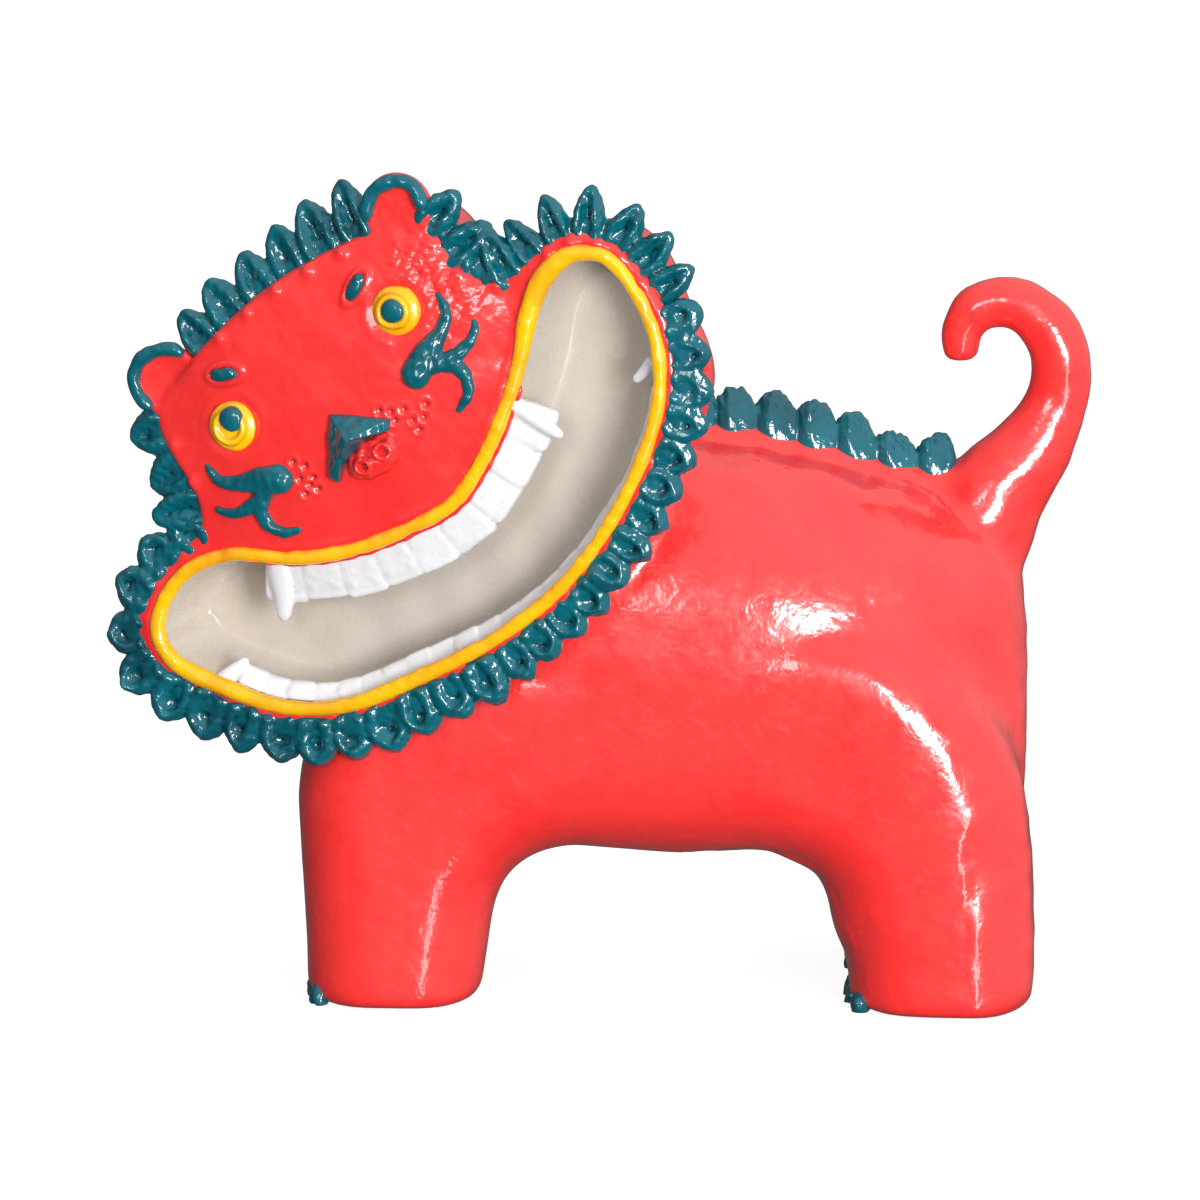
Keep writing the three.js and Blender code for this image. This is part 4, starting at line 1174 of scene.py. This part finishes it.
def locks(start, end, count, long, n, kind, seed):
    """All the locks of a run.

    Across, a place is half the width times the outline times s, the cosine of the angle round the lock. Its
    front stands at the thickness times the sine's 0.7th power. A leaf has a groove taken out of it along the
    middle, with a rim on each side. A cup has a pit, a hill of the distance from a place at its middle that
    falls off faster towards the tip, so it is open to the lip. Its foot reaches nearly to the lip.
    """
    rng = np.random.default_rng(seed)
    at, outward, length = brim_run(start, end, np.linspace(0, 1, count))
    pitch = length / (count - 1)

    def vary(low, high):
        return rng.uniform(low, high, count)[:, None, None]

    v = LENGTHWISE[None, :, None]
    angle = once_round(ROUND_STEPS)[None, None, :]
    s, upper = np.cos(angle), np.maximum(np.sin(angle), 0) ** 0.7
    lower = np.minimum(np.sin(angle), 0)
    leaf = kind == "leaf"
    outline = np.interp(v, *(LEAF if leaf else CUP).T)
    at_foot = 0.4 if leaf else 0.75
    body_height = np.interp(v, [0, 0.08, 0.3, 0.7, 0.92, 1], [at_foot, 0.85, 1, 0.85, 0.55, 0.15])
    thick = vary(2.9, 3.5) if leaf else vary(3.1, 3.7)
    half = pitch * (0.56 if leaf else 0.565) * vary(0.94, 1.06)
    z = thick * body_height * upper
    if leaf:
        groove = np.interp(v, [0, 0.1, 0.28, 0.6, 0.9, 1], [0, 0.35, 1, 0.9, 0.15, 0])
        z = z * (1 - vary(0.75, 1.0) * groove * np.clip(1 - np.abs(s) / 0.5, 0, 1) ** 1.1)
        z += 0.3 * thick * groove * hill(np.abs(s) - 0.6, 0.2) * upper
    else:
        past = v - vary(0.46, 0.54)
        across = (s - vary(-0.14, 0.14)) / vary(0.36, 0.5)
        away = np.hypot(past / np.where(past < 0, 0.5, vary(0.2, 0.26)), across)
        z = z * (1 - vary(0.85, 1.15) * hill(away, 0.85))
        z += 0.2 * thick * hill(away - 1.35, 0.35) * upper * step_up(v, 0.3, 0.6)
        z += vary(0.1, 0.5) * thick * hill(v - 0.12, 0.1) * hill(np.abs(s) - 0.5, 0.3) * upper
        z += vary(0.1, 0.45) * thick * hill(v - 0.88, 0.1) * hill(s, 0.5) * upper
    z = z + 0.75 * thick * body_height * lower
    x = half * outline * s
    foot = FOOT if leaf else np.minimum(to_line(at, LIP_LINE) - FOOT_TO_LIP, FOOT)[:, None, None]
    long, n = (np.linspace(*ends, count)[:, None, None] for ends in (long, n))
    y = -foot + (long * vary(0.92, 1.08) + foot) * v
    x = x + vary(-0.9, 0.9) * v ** 2
    z = z + vary(-1.6, 0.2) * v ** 2 + n + vary(-0.4, 0.4) + x * vary(-0.14, 0.14)
    places = spread(at, right_of(outward), outward, x, y, z)
    return skin(in_place(places + 0.16 * lumps(places, 4.5, seed + 50) * np.array([1, 1, 1.4])))


def roll(start, end, count, n):
    """The roll of clay under a run's locks: a flattened rope along the head's outline, half a lock longer."""
    spare = 0.5 / (count - 1)
    at, outward, _ = brim_run(start, end, np.linspace(-spare, 1 + spare, 120))
    line = np.column_stack([at - 0.4 * outward, np.linspace(*n, 120) - 0.2])
    return skin(in_place(tube(line, finger(3.8 + 0.3 * waves(line, 7, 49), 0.04, 0.04), 24, 0.62)))


# What stands further out than this is pressed back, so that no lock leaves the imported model's box.
PRESSED, PRESSED_SHARE = -73.9, 0.4
for seed, (name, run) in enumerate(MANE.items()):
    start, end, count, long, n, kind = run
    mane = melted(together([locks(*run, seed), roll(start, end, count, n)]), CLAY_GRAIN)
    rubbed(mane, 2)
    p = pushed(mane, 0.1, 2.6, 90 + seed)
    p[:, 1] = np.maximum(p[:, 1], PRESSED + PRESSED_SHARE * (p[:, 1] - PRESSED))
    put_places(mane, p)
    piece("mane_" + name, mane, TEAL, reach=1)

# %% [markdown]
# ## The crest
# A roll of clay along the spine, pinched into knobs one after another, so that each twists a little. Its
# height and width swell at each knob, and diagonal creases run over it.

# %% The crest's knobs
CREST_FIRST, CREST_PITCH, CREST_COUNT = 4.0, 10.4, 9
CREST_TALL, CREST_WIDE, CREST_STEPS = 14.0, 6.8, 330


def crest():
    """A closed roll along the ledge: at each place the section is half an ellipse over the ledge.

    Its height is the knob's height times 0.62 + 0.38 c, where c is the cosine of half a turn per knob, made
    positive and to the 0.65th power: round on a knob, with a sharp valley between two.
    """
    x = np.linspace(-1.5, CREST_FIRST + CREST_PITCH * (CREST_COUNT - 1) + 5.4, CREST_STEPS)
    turn = (x - CREST_FIRST) / CREST_PITCH
    rng = np.random.default_rng(61)
    uneven = np.interp(turn, np.arange(-1, 11), 1 + rng.uniform(-0.1, 0.12, 12))
    rise = np.abs(np.cos(np.pi * turn)) ** 0.65
    size = np.interp(turn, [0, 9], [1, 0.76]) * finger(np.ones(CREST_STEPS), 0.025, 0.02)
    tall = CREST_TALL * size * uneven * (0.62 + 0.38 * rise)
    wide = CREST_WIDE * size * (0.7 + 0.3 * rise)
    foot = np.interp(x, LEDGE[:, 0], LEDGE[:, 1])
    angle = once_round(64)[None, :]
    up = np.sin(angle)
    y = wide[:, None] * np.cos(angle) * (1 - 0.25 * np.maximum(up, 0) ** 2)
    z = foot[:, None] + np.where(up > 0, tall[:, None] * np.abs(up) ** 0.85, -3.5 * np.abs(up))
    twist = np.sin(2 * np.pi * turn + 0.6)[:, None] * np.maximum(up, 0)
    places = np.stack([x[:, None] + 1.6 * twist * np.cos(angle), y + 1.1 * twist, z], -1)
    slanted = np.stack([places[..., 0] + 0.6 * z, places[..., 1] * 0.5, z * 0.6], -1)
    creased = (0.4 * lumps(slanted, 4, 62) + 0.36 * lumps(places, 2.4, 63)) * np.maximum(up, 0.15)[..., None]
    outward = places - np.stack([x, np.zeros(CREST_STEPS), foot + 3], 1)[:, None]
    outward /= np.linalg.norm(outward, axis=2, keepdims=True)
    return skin(places + outward * creased * size[:, None, None])


piece("crest", crest(), TEAL)

# %% [markdown]
# ## Claws
# Three small dabs of blue-green clay at the front of each foot, near the ground, with uneven tops.

# %% Claws of all four feet
CLAWS_ACROSS = (15, 25, 34.5)
CLAW_HALF = (2.3, 4.9)
FRONT_CLAW_TALL, REAR_CLAW_TALL = 6.0, 5.5


def claws():
    """Flattened eggs along the front edge of each foot, cut level with the ground."""
    parts = []
    for front, tall in ((FRONT_FOOT[0], FRONT_CLAW_TALL), (REAR_FOOT[0], REAR_CLAW_TALL)):
        for hand in (-1, 1):
            for number, y in enumerate(CLAWS_ACROSS):
                inset = ROUNDING[0] * (1 - math.sqrt(1 - (max(y - 26, 0) / ROUNDING[1]) ** 2))
                claw = egg((*CLAW_HALF, tall / 2 + 0.8), 0.8, 26, 36)
                claw += [front + inset + 2.2, hand * splayed(front, y), tall / 2 - 1.2]
                claw += 0.3 * lumps(claw, 4, 71 + number)
                claw[..., 2] = np.maximum(claw[..., 2], 0.02)
                parts.append(skin(claw))
    return together(parts)


piece("claws", claws(), TEAL)

# %% [markdown]
# ## Floor, light and camera
# A product picture on white. The floor shines by itself, so it looks white all over, and it neither
# mirrors in the paints nor lights them. The surround is brightest high on the right. A soft lamp stands
# low on the right in front, a weaker one higher on the left, and a tall strip draws the upright streaks on
# the legs. The camera stands a little above the figure, far off with a long lens, so that the near side
# hardly looks bigger than the far one.

# %% Floor and light
FLOOR_HALF, FLOOR_GREY, FLOOR_GLOW = 6, 0.25, 0.9
BRIGHT_SIDE = (0.52, -0.3, 0.8)
# How far a direction points to the bright side, and the surround's strength there.
SURROUND = (("From Min", -0.3), ("From Max", 1.0), ("To Min", 0.1), ("To Max", 1.08))
# Name, place, width, height and power.
LAMPS = (("key", (0.52, -1.44, 0.27), 0.42, 0.5, 21), ("fill", (-0.45, -1.9, 0.62), 0.5, 0.5, 8),
         ("strip", (0.57, -1.55, -0.3), 0.2, 0.9, 5))
LIT_PLACE = Vector((0, 0, 0.11))

pale = bpy.data.materials.new("pale_floor")
pale.use_nodes = True
for key, value in (("Base Color", (*[FLOOR_GREY] * 3, 1)), ("Roughness", 0.9), ("Specular IOR Level", 0.1),
                   ("Emission Color", (1, 1, 1, 1)), ("Emission Strength", FLOOR_GLOW)):
    pale.node_tree.nodes["Principled BSDF"].inputs[key].default_value = value
floor_mesh = bpy.data.meshes.new("floor")
floor_mesh.from_pydata([(FLOOR_HALF * x, FLOOR_HALF * y, 0) for x, y in ((-1, -1), (1, -1), (1, 1), (-1, 1))],
                       [], [(0, 1, 2, 3)])
floor_mesh.materials.append(pale)
floor = put_in_scene("floor", floor_mesh)
floor.visible_glossy = False
floor.visible_diffuse = False

scene = bpy.context.scene
scene.world = bpy.data.worlds.new("surround")
scene.world.use_nodes = True
nodes, links = scene.world.node_tree.nodes, scene.world.node_tree.links
towards = nodes.new("ShaderNodeVectorMath")
towards.operation = "DOT_PRODUCT"
towards.inputs[1].default_value = BRIGHT_SIDE
sky = nodes.new("ShaderNodeMapRange")
for key, value in SURROUND:
    sky.inputs[key].default_value = value
links.new(nodes.new("ShaderNodeTexCoord").outputs["Generated"], towards.inputs[0])
links.new(towards.outputs["Value"], sky.inputs["Value"])
links.new(sky.outputs["Result"], nodes["Background"].inputs["Strength"])
nodes["Background"].inputs["Color"].default_value = (1, 1, 1, 1)
scene.view_settings.view_transform = "Standard"

for name, place, width, height, power in LAMPS:
    light = bpy.data.lights.new(name, "AREA")
    light.shape = "RECTANGLE"
    light.size, light.size_y, light.energy = width, height, power
    lamp = put_in_scene(name, light)
    lamp.location = place
    lamp.rotation_euler = (LIT_PLACE - Vector(place)).to_track_quat("-Z", "Y").to_euler()

# %% Camera
TARGET = Vector((-0.00037, 0.01176, 0.1005))
AZIMUTH, ELEVATION, DISTANCE = math.radians(1.5), math.radians(10), 2.2
WIDE, SENSOR = 0.312, 36
lens = bpy.data.cameras.new("camera")
lens.sensor_width = SENSOR
lens.lens = SENSOR * DISTANCE / WIDE
camera = put_in_scene("camera", lens)
back_to_camera = Vector((math.sin(AZIMUTH) * math.cos(ELEVATION), -math.cos(AZIMUTH) * math.cos(ELEVATION),
                         math.sin(ELEVATION)))
camera.location = TARGET + back_to_camera * DISTANCE
camera.rotation_euler = back_to_camera.to_track_quat("Z", "Y").to_euler()
scene.camera = camera
print("camera", [round(v, 3) for v in camera.location], "lens", round(lens.lens, 1))
